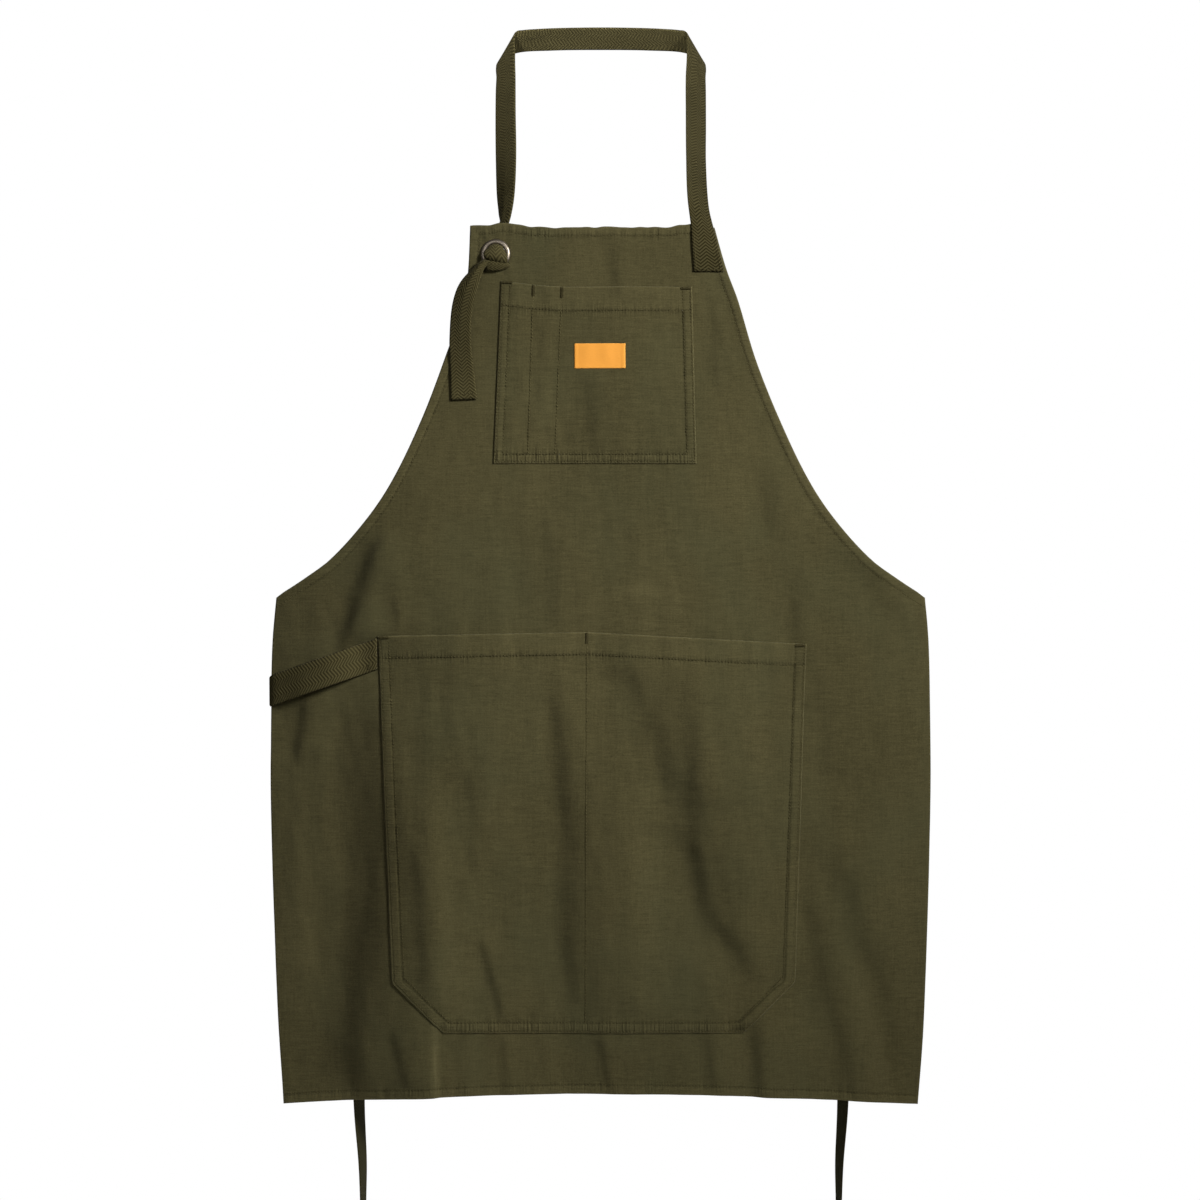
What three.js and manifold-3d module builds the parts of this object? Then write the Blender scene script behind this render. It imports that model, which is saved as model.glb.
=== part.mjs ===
// Work apron: a bib apron of cotton canvas with a neck strap that is knotted through an eyelet,
// a chest pocket with pen slots, a wide front pocket, a bare label, a side loop and two waist ties.
// Millimetres, +Z up, the apron's front towards -Y.
// The origin is the middle of the neck strap's top band, where it rests on a neck.
import * as THREE from 'three';
import { mergeVertices } from 'three/addons/utils/BufferGeometryUtils.js';
import Module from 'manifold-3d';

const wasm = await Module();
wasm.setup();

const { lerp, smoothstep, degToRad } = THREE.MathUtils;

// Cloth, webbing and clearances
const CANVAS = 1.2;
const HEM_THICK = 2.4;
const HEM = 10;
const WEBBING = 30;
const WEBBING_THICK = 1.6;
const TIE_WIDTH = 25;
const TIE_THICK = 1.2;
const SEAM_GAP = 0.7;
const PIECE_GAP = 0.4;

// Body: heights of its main lines, and how it stands in depth
const BIB_TOP = -205;
const WAIST = -577;
const HEM_MIDDLE = -1072;
const HEM_CORNER_DROP = 15;
const CHEST_Y = -101;
const BELLY = 8;
const HALF_WIDTH = 330;
const SIDE_TURN_SQUARE = 18;
const SIDE_TURN_FOURTH = 20;

// Body: steps of its grid, and the step at a hem's inner edge
const BODY_COLUMNS = 26;
const BIB_ROWS = 13;
const SKIRT_ROWS = 19;
const HEM_STEP = 1;

// Left and right edges of the armholes and of the skirt's sides, by height
const ARMHOLE = [
  { z: BIB_TOP, left: -131, right: 114 },
  { z: -248, left: -133, right: 126 },
  { z: -278, left: -137, right: 137 },
  { z: -338, left: -157, right: 155 },
  { z: -398, left: -180, right: 179 },
  { z: -458, left: -209, right: 208 },
  { z: -498, left: -236, right: 235 },
  { z: -538, left: -273, right: 272 },
  { z: -558, left: -299, right: 298 },
  { z: WAIST, left: -327, right: 326 },
];
const SIDE = [
  { z: WAIST, left: -327, right: 326 },
  { z: -679, left: -332, right: 331 },
  { z: -780, left: -333, right: 332 },
  { z: -982, left: -327, right: 326 },
  { z: HEM_MIDDLE, left: -321, right: 320 },
];

// Soft folds of the hanging cloth: ridges rise towards the front, valleys have a negative rise.
// Each fades in and out over these shares of its length.
const FOLD_FADE = { fullFrom: 0.3, fullTo: 0.75 };
const FOLDS = [
  { topX: -186, topZ: -618, bottomX: -173, bottomZ: -1278, width: 42, rise: 6.5 },
  { topX: -229, topZ: -498, bottomX: -264, bottomZ: -1278, width: 42, rise: -5.5 },
  { topX: -41, topZ: -658, bottomX: -26, bottomZ: -1278, width: 32, rise: -2.5 },
  { topX: 11, topZ: -638, bottomX: 19, bottomZ: -1278, width: 32, rise: 3 },
  { topX: 24, topZ: -640, bottomX: 134, bottomZ: -960, width: 32, rise: -3.5 },
  { topX: 67, topZ: -650, bottomX: 189, bottomZ: -970, width: 32, rise: 4 },
  { topX: 161, topZ: -860, bottomX: 164, bottomZ: -1378, width: 32, rise: 4 },
  { topX: 239, topZ: -798, bottomX: 304, bottomZ: -1278, width: 32, rise: 4 },
  { topX: -216, topZ: -500, bottomX: -240, bottomZ: -640, width: 30, rise: 3 },
];

// The bib's right corner is drawn back by the strap, and both strap places lift its top edge
const CORNER_CURL = { depth: 10, reach: 28, drop: 60 };
const TOP_LIFTS = [
  { x: -97, rise: 4.5, width: 16 },
  { x: 92, rise: 3, width: 12 },
];
const TOP_LIFT_DROP = 40;

// Chest pocket: its seam lines from top to bottom, and how far each compartment stands out
const CHEST_POCKET = {
  bottom: -442,
  hem: 24,
  rows: 8,
  seams: [
    { topX: -100, topZ: -259, bottomX: -107.5 },
    { topX: -67.5, topZ: -260, bottomX: -73 },
    { topX: -39, topZ: -261, bottomX: -46 },
    { topX: 91, topZ: -265, bottomX: 95.5 },
  ],
  bays: [
    { columns: 2, bulge: 2 },
    { columns: 2, bulge: 2 },
    { columns: 8, bulge: 8 },
  ],
  clip: 0,
  flat: 4,
};

// Front pocket: the same, with its lower corners clipped
const FRONT_POCKET = {
  bottom: -1011,
  hem: 22,
  rows: 14,
  seams: [
    { topX: -223.5, topZ: -614, bottomX: -207 },
    { topX: -14, topZ: -610, bottomX: -15.5 },
    { topX: 205.5, topZ: -622, bottomX: 193 },
  ],
  bays: [
    { columns: 9, bulge: 10 },
    { columns: 9, bulge: 10 },
  ],
  clip: 50,
  flat: 11,
};
const BULGE_POWER = 0.55;
const MOUTH_PHASE = 0.36;
const CLIP_ROWS = 4;

// Label on the chest pocket
const LABEL = { left: -27, right: 25, top: -321, bottom: -346, thick: 1, columns: 8, rows: 3 };

// Eyelet: its place on the bib, and its section as radius and height above the cloth's front
const EYELET = { x: -105.5, z: -232, hole: 11.6, drillDepth: 20, sides: 28 };
const EYELET_BACK = -CANVAS - SEAM_GAP;
const EYELET_SECTION = [
  { radius: 15, height: SEAM_GAP },
  { radius: 15, height: 1.3 },
  { radius: 14, height: 2.2 },
  { radius: 12.4, height: 2.6 },
  { radius: 10.8, height: 2.2 },
  { radius: 10, height: 1.2 },
  { radius: 10, height: EYELET_BACK - 0.6 },
  { radius: 10.6, height: EYELET_BACK - 1.2 },
  { radius: 13.6, height: EYELET_BACK - 1.2 },
  { radius: 14, height: EYELET_BACK },
  { radius: 11, height: EYELET_BACK },
  { radius: 11, height: SEAM_GAP },
];

// Neck strap: its sewn end on the bib, as inner and outer edge by height, bowed over the curled corner
const SEWN_END = [
  { z: -250, inner: 92.5, outer: 122.5, bow: 0 },
  { z: -235, inner: 91.5, outer: 119, bow: 0.7 },
  { z: -220, inner: 90.6, outer: 115.5, bow: 1.1 },
  { z: -206, inner: 90, outer: 112, bow: 1.3 },
];
const SEWN_GAP = 1.2;

// Rising lengths at both sides, turned to lie against a neck; the left one goes behind the bib
const RISE_RIGHT = [
  { x: 97.5, y: -92, z: -180, turn: 44, width: WEBBING },
  { x: 95.5, y: -67, z: -132, turn: 49, width: WEBBING },
  { x: 96.5, y: -45, z: -90, turn: 49, width: WEBBING },
  { x: 97, y: -24, z: -50, turn: 49, width: WEBBING },
];
const RISE_LEFT = [
  { x: -97, y: -24, z: -50, turn: 49, width: WEBBING },
  { x: -96.5, y: -44, z: -90, turn: 49, width: WEBBING },
  { x: -95.5, y: -63, z: -132, turn: 49, width: WEBBING },
  { x: -95.5, y: -80, z: -172, turn: 56, width: 28 },
  { x: -96, y: -87, z: -199, turn: 62, width: 22 },
];
const RISE_BACK = new THREE.Vector3(0, 0.89, -0.45);

// Corner of the top band, from the rising length round to the band's middle
const BAND_CORNER = [
  { inner: [86.4, -20, -19], outer: [107.4, -9, -42] },
  { inner: [85.5, -9, 6], outer: [108, 1, -28] },
  { inner: [79, -9.5, 7.4], outer: [101, 8, -20] },
  { inner: [66, -10, 8.4], outer: [86, 10, -13] },
  { inner: [44, -10, 9.4], outer: [50, 10, -10.6] },
];
const BAND_MIDDLE = { inner: [0, -10, 10], outer: [0, 10, -10] };

// From behind the bib through the eyelet to the knot, gathered narrow, then the free tail
const THROUGH_EYELET = [
  { inner: [-94, -89, -214], outer: [-108, -86, -217], thick: 3 },
  { inner: [-97, -91, -228], outer: [-112, -91, -229], thick: 4 },
  { inner: [-98, -98, -232], outer: [-113, -98, -232], thick: 4 },
  { inner: [-98, -106, -233], outer: [-113, -106, -234], thick: 4 },
  { inner: [-100, -111, -235], outer: [-117, -111, -241], thick: 4 },
];
const TAIL = [
  { inner: [-111, -112, -241], outer: [-131, -105, -250], thick: 2 },
  { inner: [-122, -113, -260], outer: [-145, -104, -270], thick: WEBBING_THICK },
  { inner: [-128, -114, -286], outer: [-150, -103, -289], thick: WEBBING_THICK },
  { inner: [-129, -114, -322], outer: [-151, -104, -323], thick: WEBBING_THICK },
  { inner: [-126.5, -113, -351], outer: [-150.5, -105, -352], thick: WEBBING_THICK },
  { inner: [-123.5, -112, -378], outer: [-150, -106, -379], thick: WEBBING_THICK },
];
const KNOT = { x: -103, y: -111.5, z: -242, length: 21, depth: 12, height: 12, tilt: 12 };
const KNOT_GRID = { sides: 12, rings: 8 };

// Side loop: its middle line before the cloth, then behind it from the skirt's left edge inwards
const LOOP_FRONT = [
  { x: -229, z: -633.5, lift: 2 },
  { x: -240, z: -637.5, lift: 2.6 },
  { x: -256, z: -643, lift: 8 },
  { x: -276, z: -650, lift: 12 },
  { x: -298, z: -657.5, lift: 12 },
  { x: -318, z: -664.5, lift: 8 },
  { x: -331, z: -669, lift: 4 },
];
const LOOP_BACK = [
  { x: -336, z: -670.5, behind: 1 },
  { x: -331, z: -670.5, behind: 5.5 },
  { x: -319, z: -670.5, behind: 4.6 },
  { x: -300, z: -670.5, behind: 3.2 },
];
const LOOP_SLANT = degToRad(18);

// Waist ties, for the right side: route of the middle line and direction of the tape's width
const TIE_SEWN_Z = -593;
const TIE_SEWN = [
  { x: 318, behind: 4.2 },
  { x: 303, behind: 3.8 },
  { x: 288, behind: 4 },
];
const TIE_HANGING = [
  { x: 270, y: -62, z: -599, across: [-0.2, 0.3, 1] },
  { x: 256, y: -56, z: -615, across: [-0.55, 0.75, 0.6] },
  { x: 247, y: -52, z: -645, across: [-0.4, 0.95, 0.2] },
  { x: 244, y: -51, z: -700, across: [-0.35, 0.94, 0] },
  { x: 244, y: -51, z: -800, across: [-0.4, 0.92, 0] },
  { x: 245, y: -52, z: -900, across: [-0.45, 0.9, 0] },
  { x: 246, y: -53, z: -1000, across: [-0.5, 0.87, 0] },
  { x: 246, y: -54, z: -1090, across: [-0.42, 0.91, 0] },
  { x: 242.5, y: -54, z: -1150, across: [-0.28, 0.96, 0] },
  { x: 241, y: -54, z: -1190, across: [-0.16, 0.98, 0] },
  { x: 240.5, y: -54, z: -1226, across: [-0.12, 0.99, 0] },
];

// Facets across a tape, and steps along it between two stations
const STRAP_GRID = { across: 4, steps: 2 };
const LOOP_GRID = { across: 2, steps: 3 };
const TIE_GRID = { across: 1, steps: 2 };

const OLIVE = new THREE.MeshStandardMaterial({ color: 0x4b472d, roughness: 0.95, metalness: 0 });
const OLIVE_WEBBING = new THREE.MeshStandardMaterial({ color: 0x444029, roughness: 0.95, metalness: 0 });
const ORANGE = new THREE.MeshStandardMaterial({ color: 0xed942f, roughness: 0.8, metalness: 0 });
const NICKEL = new THREE.MeshStandardMaterial({ color: 0xa8a296, roughness: 0.3, metalness: 1 });

// Smooth value of one column of a table at height z, for rows listed from the top down
function column(rows, name, z) {
  let i = 0;
  while (i < rows.length - 2 && z < rows[i + 1].z) i += 1;
  const slope = (k) => {
    const a = rows[Math.max(k - 1, 0)];
    const b = rows[Math.min(k + 1, rows.length - 1)];
    return (b[name] - a[name]) / (b.z - a.z);
  };
  const from = rows[i];
  const to = rows[i + 1];
  const step = to.z - from.z;
  const t = THREE.MathUtils.clamp((z - from.z) / step, 0, 1);
  const s = t * t * (3 - 2 * t);
  const lean = t * (1 - t) * step * ((1 - t) * slope(i) - t * slope(i + 1));
  return lerp(from[name], to[name], s) + lean;
}

function edge(name, z) {
  return z > WAIST ? column(ARMHOLE, name, z) : column(SIDE, name, z);
}

function foldRise(x, z) {
  let rise = 0;
  for (const fold of FOLDS) {
    const along = (fold.topZ - z) / (fold.topZ - fold.bottomZ);
    const fade = smoothstep(along, 0, FOLD_FADE.fullFrom) * (1 - smoothstep(along, FOLD_FADE.fullTo, 1));
    const off = (x - lerp(fold.topX, fold.bottomX, along)) / fold.width;
    rise += fold.rise * fade * Math.exp(-0.5 * off * off);
  }
  return rise;
}

function cornerCurl(x, z) {
  const across = smoothstep(x, edge('right', z) - CORNER_CURL.reach, edge('right', z) + CORNER_CURL.reach);
  const down = 1 - smoothstep(BIB_TOP - z, 0, CORNER_CURL.drop);
  return 2 * CORNER_CURL.depth * across * down;
}

// Depth of the cloth's front face
function frontY(x, z) {
  const across = x / HALF_WIDTH;
  const turn = SIDE_TURN_SQUARE * across ** 2 + SIDE_TURN_FOURTH * across ** 4;
  const belly = BELLY * Math.sin(Math.PI * (z - BIB_TOP) / (HEM_MIDDLE - BIB_TOP));
  return CHEST_Y - belly + turn - foldRise(x, z) + cornerCurl(x, z);
}

function onFront(x, z, lift) {
  return new THREE.Vector3(x, frontY(x, z) - lift, z);
}

// Geometry with shared vertices and fresh normals
function welded(geometry) {
  geometry.deleteAttribute('normal');
  geometry.deleteAttribute('uv');
  const merged = mergeVertices(geometry);
  merged.computeVertexNormals();
  return merged;
}

// A thin closed wall: place(i, j, side) gives the point of column i and row j, on side 1 (front) or -1
function wall(columns, rows, place) {
  const geometry = new THREE.BoxGeometry(1, 1, 1, columns, rows, 1);
  const position = geometry.attributes.position;
  for (let k = 0; k < position.count; k += 1) {
    const i = Math.round((position.getX(k) + 0.5) * columns);
    const j = Math.round((0.5 - position.getY(k)) * rows);
    const point = place(i, j, Math.sign(position.getZ(k)));
    position.setXYZ(k, point.x, point.y, point.z);
  }
  return welded(geometry);
}

// A flat tape through stations that give its two edges, its thickness and, where it isn't flat, its bow
function tape(stations, { across, steps }) {
  const inner = new THREE.CatmullRomCurve3(stations.map((s) => new THREE.Vector3(...s.inner)));
  const outer = new THREE.CatmullRomCurve3(stations.map((s) => new THREE.Vector3(...s.outer)));
  const rows = (stations.length - 1) * steps;
  return wall(across, rows, (i, j, side) => {
    const t = j / rows;
    const low = Math.min(Math.floor(j / steps), stations.length - 2);
    const between = (name) => lerp(stations[low][name] ?? 0, stations[low + 1][name] ?? 0, j / steps - low);
    const u = i / across;
    const out = side * between('thick') / 2 - 4 * u * (1 - u) * between('bow');
    const a = inner.getPoint(t);
    const b = outer.getPoint(t);
    const back = inner.getTangent(t).add(outer.getTangent(t)).negate();
    const normal = b.clone().sub(a).cross(back).normalize();
    return a.lerp(b, u).addScaledVector(normal, out);
  });
}

function solid(geometry) {
  const vertProperties = Float32Array.from(geometry.attributes.position.array);
  const triVerts = Uint32Array.from(geometry.index.array);
  return new wasm.Manifold(new wasm.Mesh({ numProp: 3, vertProperties, triVerts }));
}

function fromSolid(body) {
  const mesh = body.getMesh();
  const geometry = new THREE.BufferGeometry();
  geometry.setAttribute('position', new THREE.BufferAttribute(mesh.vertProperties, 3));
  geometry.setIndex(new THREE.BufferAttribute(mesh.triVerts, 1));
  geometry.computeVertexNormals();
  return geometry;
}

// Turns a shape made about the Y axis so that the axis stands out of the cloth at (x, z)
function standOnCloth(geometry, x, z) {
  const reach = EYELET.hole;
  const across = onFront(x + reach, z, 0).sub(onFront(x - reach, z, 0));
  const up = onFront(x, z + reach, 0).sub(onFront(x, z - reach, 0));
  const out = across.cross(up).normalize();
  geometry.applyQuaternion(new THREE.Quaternion().setFromUnitVectors(new THREE.Vector3(0, 1, 0), out));
  const place = onFront(x, z, 0);
  return geometry.translate(place.x, place.y, place.z);
}

// Even steps from one distance to another, both ends included
function spread(from, to, steps) {
  return Array.from({ length: steps + 1 }, (_, k) => lerp(from, to, k / steps));
}

// Distances across the cloth: a hem at both edges and even steps between
function acrossSteps(width) {
  const inside = HEM + HEM_STEP;
  return [0, HEM, ...spread(inside, width - inside, BODY_COLUMNS), width - HEM, width];
}

// Distances down the cloth: a hem at both ends, and one row through the corners at the waist
function downSteps() {
  const waist = BIB_TOP - WAIST;
  const bottom = BIB_TOP - HEM_MIDDLE;
  const bib = spread(HEM + HEM_STEP, waist, BIB_ROWS);
  const skirt = spread(waist, bottom - HEM - HEM_STEP, SKIRT_ROWS).slice(1);
  return [0, HEM, ...bib, ...skirt, bottom - HEM, bottom];
}

function apronBody() {
  const downs = downSteps();
  const columns = BODY_COLUMNS + 4;
  const rows = downs.length - 1;
  const sheet = wall(columns, rows, (i, j, side) => {
    const flatZ = BIB_TOP - downs[j];
    const left = edge('left', flatZ);
    const width = edge('right', flatZ) - left;
    const x = left + acrossSteps(width)[i];
    const skirt = smoothstep(flatZ, HEM_MIDDLE, WAIST);
    const drop = HEM_CORNER_DROP * (1 - skirt) * (x / edge('right', HEM_MIDDLE)) ** 2;
    const nearTop = 1 - smoothstep(downs[j], 0, TOP_LIFT_DROP);
    const lift = TOP_LIFTS.reduce((sum, p) => sum + p.rise * Math.exp(-0.5 * ((x - p.x) / p.width) ** 2), 0);
    const z = flatZ - drop + lift * nearTop;
    const inHem = i < 2 || j < 2 || i > columns - 2 || j > rows - 2;
    const back = inHem ? HEM_THICK : CANVAS;
    return onFront(x, z, side > 0 ? 0 : -back);
  });
  const drill = new THREE.CylinderGeometry(EYELET.hole, EYELET.hole, EYELET.drillDepth, EYELET.sides);
  const hole = standOnCloth(welded(drill), EYELET.x, EYELET.z);
  return fromSolid(solid(sheet).subtract(solid(hole)));
}

// Height of the pocket's mouth over x, along straight lines between its seams' tops
function mouthZ(pocket, x) {
  const seams = pocket.seams;
  let k = 0;
  while (k < seams.length - 2 && x > seams[k + 1].topX) k += 1;
  const along = (x - seams[k].topX) / (seams[k + 1].topX - seams[k].topX);
  return lerp(seams[k].topZ, seams[k + 1].topZ, THREE.MathUtils.clamp(along, 0, 1));
}

// Sideways place of a pocket's seam at share v of its depth, with the clipped corner taken in
function seamX(pocket, k, v) {
  const seam = pocket.seams[k];
  const x = lerp(seam.topX, seam.bottomX, v);
  const depth = seam.topZ - pocket.bottom;
  const inwards = Math.max(0, pocket.clip - (1 - v) * depth);
  if (k === 0) return x + inwards;
  return k === pocket.seams.length - 1 ? x - inwards : x;
}

// Stand-off of a pocket's cloth at share s across a bay and share v down
function bayBulge(bay, width, flat, s, v) {
  const margin = flat / width;
  const inside = THREE.MathUtils.clamp((s - margin) / (1 - 2 * margin), 0, 1);
  const across = Math.sin(Math.PI * inside) ** BULGE_POWER;
  const down = Math.sin(Math.PI * lerp(MOUTH_PHASE, 1, v));
  return bay.bulge * across * down;
}

// Point of a pocket's cloth in bay k, lift being the distance of its back from the body's front
function pocketPoint(pocket, k, s, v) {
  const left = seamX(pocket, k, v);
  const right = seamX(pocket, k + 1, v);
  const x = lerp(left, right, s);
  const z = lerp(mouthZ(pocket, x), pocket.bottom, v);
  const lift = SEAM_GAP + bayBulge(pocket.bays[k], right - left, pocket.flat, s, v);
  return { x, z, lift };
}

function pocketPanel(pocket) {
  const places = [];
  pocket.bays.forEach((bay, k) => {
    for (let c = 0; c < bay.columns; c += 1) places.push({ k, s: c / bay.columns });
  });
  places.push({ k: pocket.bays.length - 1, s: 1 });
  const depth = mouthZ(pocket, 0) - pocket.bottom;
  const hemEnd = pocket.hem / depth;
  const downs = [0, hemEnd];
  const clipStart = 1 - pocket.clip / depth;
  for (let r = 1; r <= pocket.rows; r += 1) downs.push(lerp(hemEnd, clipStart, r / pocket.rows));
  const clipRows = pocket.clip > 0 ? CLIP_ROWS : 0;
  for (let r = 1; r <= clipRows; r += 1) downs.push(lerp(clipStart, 1, r / clipRows));
  return wall(places.length - 1, downs.length - 1, (i, j, side) => {
    const { x, z, lift } = pocketPoint(pocket, places[i].k, places[i].s, downs[j]);
    const thick = j < 2 ? HEM_THICK : CANVAS;
    return onFront(x, z, side > 0 ? lift + thick : lift);
  });
}

function label() {
  const bay = CHEST_POCKET.bays.length - 1;
  const left = CHEST_POCKET.seams[bay];
  const right = CHEST_POCKET.seams[bay + 1];
  return wall(LABEL.columns, LABEL.rows, (i, j, side) => {
    const x = lerp(LABEL.left, LABEL.right, i / LABEL.columns);
    const z = lerp(LABEL.top, LABEL.bottom, j / LABEL.rows);
    const v = (mouthZ(CHEST_POCKET, x) - z) / (mouthZ(CHEST_POCKET, x) - CHEST_POCKET.bottom);
    const from = lerp(left.topX, left.bottomX, v);
    const to = lerp(right.topX, right.bottomX, v);
    const lift = pocketPoint(CHEST_POCKET, bay, (x - from) / (to - from), v).lift;
    const base = lift + CANVAS + PIECE_GAP;
    return onFront(x, z, side > 0 ? base + LABEL.thick : base);
  });
}

function eyelet() {
  const points = EYELET_SECTION.map((p) => new THREE.Vector2(p.radius, p.height));
  points.push(points[0].clone());
  const ring = new THREE.LatheGeometry(points, EYELET.sides);
  return standOnCloth(welded(ring), EYELET.x, EYELET.z);
}

// A station of a tape that lies on or near the cloth; tilt turns its width from upright in the cloth
function clothStation(x, z, width, tilt, lift, thick) {
  const aside = Math.sin(tilt) * width / 2;
  const above = Math.cos(tilt) * width / 2;
  return {
    inner: onFront(x + aside, z + above, lift).toArray(),
    outer: onFront(x - aside, z - above, lift).toArray(),
    thick,
  };
}

// A station of a rising length: its width is turned from across towards the back
function riseStation(row) {
  const outwards = Math.sign(row.x);
  const turn = degToRad(row.turn);
  const across = new THREE.Vector3(outwards * Math.cos(turn), 0, 0).addScaledVector(RISE_BACK, Math.sin(turn));
  const middle = new THREE.Vector3(row.x, row.y, row.z);
  const inner = middle.clone().addScaledVector(across, -row.width / 2).toArray();
  const outer = middle.clone().addScaledVector(across, row.width / 2).toArray();
  return { inner, outer, thick: WEBBING_THICK };
}

function mirrored(point) {
  return [-point[0], point[1], point[2]];
}

function neckStrap() {
  const lift = SEWN_GAP + WEBBING_THICK / 2;
  const sewn = SEWN_END.map((row) => ({
    inner: onFront(row.inner, row.z, lift).toArray(),
    outer: onFront(row.outer, row.z, lift).toArray(),
    bow: row.bow,
  }));
  const left = BAND_CORNER.map((row) => ({ inner: mirrored(row.inner), outer: mirrored(row.outer) }));
  const band = [...BAND_CORNER, BAND_MIDDLE, ...left.reverse()];
  const flat = [...sewn, ...RISE_RIGHT.map(riseStation), ...band, ...RISE_LEFT.map(riseStation)];
  const route = flat.map((row) => ({ ...row, thick: WEBBING_THICK }));
  const strap = tape([...route, ...THROUGH_EYELET, ...TAIL], STRAP_GRID);
  const knot = new THREE.SphereGeometry(0.5, KNOT_GRID.sides, KNOT_GRID.rings);
  knot.scale(KNOT.length, KNOT.depth, KNOT.height);
  knot.rotateY(degToRad(KNOT.tilt));
  knot.translate(KNOT.x, KNOT.y, KNOT.z);
  return fromSolid(solid(strap).add(solid(welded(knot))));
}

function sideLoop() {
  const slanted = (row) => clothStation(row.x, row.z, WEBBING, LOOP_SLANT, row.lift, WEBBING_THICK);
  const upright = (row) => clothStation(row.x, row.z, WEBBING, 0, -row.behind, WEBBING_THICK);
  return tape([...LOOP_FRONT.map(slanted), ...LOOP_BACK.map(upright)], LOOP_GRID);
}

// A waist tie; side is 1 for the right one and -1 for the left one
function waistTie(side) {
  const sewn = TIE_SEWN.map((row) => clothStation(side * row.x, TIE_SEWN_Z, TIE_WIDTH, 0, -row.behind, TIE_THICK));
  const hanging = TIE_HANGING.map((row) => {
    const middle = new THREE.Vector3(side * row.x, row.y, row.z);
    const across = new THREE.Vector3(side * row.across[0], row.across[1], row.across[2]).normalize();
    return {
      inner: middle.clone().addScaledVector(across, TIE_WIDTH / 2).toArray(),
      outer: middle.clone().addScaledVector(across, -TIE_WIDTH / 2).toArray(),
      thick: TIE_THICK,
    };
  });
  return tape([...sewn, ...hanging], TIE_GRID);
}

const PIECES = [
  { name: 'apron_body', geometry: apronBody(), material: OLIVE },
  { name: 'chest_pocket', geometry: pocketPanel(CHEST_POCKET), material: OLIVE },
  { name: 'front_pocket', geometry: pocketPanel(FRONT_POCKET), material: OLIVE },
  { name: 'label', geometry: label(), material: ORANGE },
  { name: 'eyelet', geometry: eyelet(), material: NICKEL },
  { name: 'neck_strap', geometry: neckStrap(), material: OLIVE_WEBBING },
  { name: 'side_loop', geometry: sideLoop(), material: OLIVE_WEBBING },
  { name: 'waist_tie_left', geometry: waistTie(-1), material: OLIVE_WEBBING },
  { name: 'waist_tie_right', geometry: waistTie(1), material: OLIVE_WEBBING },
];

const apron = new THREE.Group();
for (const piece of PIECES) {
  const mesh = new THREE.Mesh(piece.geometry, piece.material.clone());
  mesh.name = piece.name;
  apron.add(mesh);
}

export default apron;
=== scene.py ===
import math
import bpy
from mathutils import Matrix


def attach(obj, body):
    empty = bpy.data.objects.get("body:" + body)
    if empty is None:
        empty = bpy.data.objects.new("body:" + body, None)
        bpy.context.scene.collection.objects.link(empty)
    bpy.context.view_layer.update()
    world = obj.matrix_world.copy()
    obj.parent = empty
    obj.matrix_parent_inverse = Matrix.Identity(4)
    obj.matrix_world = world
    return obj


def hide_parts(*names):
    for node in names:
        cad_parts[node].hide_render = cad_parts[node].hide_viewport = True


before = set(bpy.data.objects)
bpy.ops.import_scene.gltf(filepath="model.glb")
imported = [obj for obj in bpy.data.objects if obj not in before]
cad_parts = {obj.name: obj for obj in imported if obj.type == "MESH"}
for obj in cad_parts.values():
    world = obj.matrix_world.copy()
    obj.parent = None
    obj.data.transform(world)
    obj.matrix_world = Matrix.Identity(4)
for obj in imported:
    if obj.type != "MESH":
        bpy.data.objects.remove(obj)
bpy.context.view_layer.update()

# Looks of a canvas work apron: cloth with folds and hems, herringbone webbing, stitching, label and eyelet.
# Tables and sizes are in millimetres, and every mesh is made in metres.
# +Z is up, the front faces -Y, and the origin is the middle of the neck strap's top band.
from types import SimpleNamespace as Sizes

import bpy
import numpy as np
from mathutils import Vector

MM = 0.001


def table(columns, *rows):
    """Arrays by column name, from rows of numbers."""
    return Sizes(**dict(zip(columns.split(), np.array(rows, float).T)))


def rows_of(columns):
    """The rows of such a table."""
    return zip(*vars(columns).values())


# Cloth and webbing; a tape's columns are closer together at its edges unless its evenness is 1
CANVAS = 1.2
HEM_THICK = 2.4
WEBBING = 30
WEBBING_THICK = 1.6
TIE_WIDTH = 25
TIE_THICK = 1.2
TAPE_EVENNESS = 0.6
# A tape's rims are painted lighter: wear and a painted highlight on the rounded edges.
TAPE_RIM_WEAR_AND_HIGHLIGHT = (0.12, 1.0)
SEAM_GAP = 0.2
EDGE_RADIUS = Sizes(body=1.2, pocket=1.3, label=0.7, tape=0.9)

# Thread: one stitch from end to end, with its rise and girth as shares of the radius and its shade, a painted
# shade at the ends where it dips in; then the threads of a bartack, which lie close and across it; and how
# high threads lie
STITCH = {"pitch": 3.3, "gap": 1.3, "radius": 0.46}
STITCH_SHAPE = table(
    "along rise girth shade",
    (0, -0.7, 0.45, -1.2),
    (0.22, 0.45, 1, 0.2),
    (0.78, 0.45, 1, 0.2),
    (1, -0.7, 0.45, -1.2),
)
STITCH_SIDES = 6
BAR_THREAD = {"pitch": 3, "gap": 0, "radius": 0.34, "tone": -0.3}
BAR_SPACING = 0.8
BAR_LEVEL = 2.25
POCKET_THREAD_LEVEL = CANVAS + 0.35
BODY_THREAD_SUNK = 0.15
# Threads of the seams between the bays are painted lighter, a painted light against the shade of the valleys
# there.
BAY_SEAM_PAINTED_LIGHT = 0.45

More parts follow.
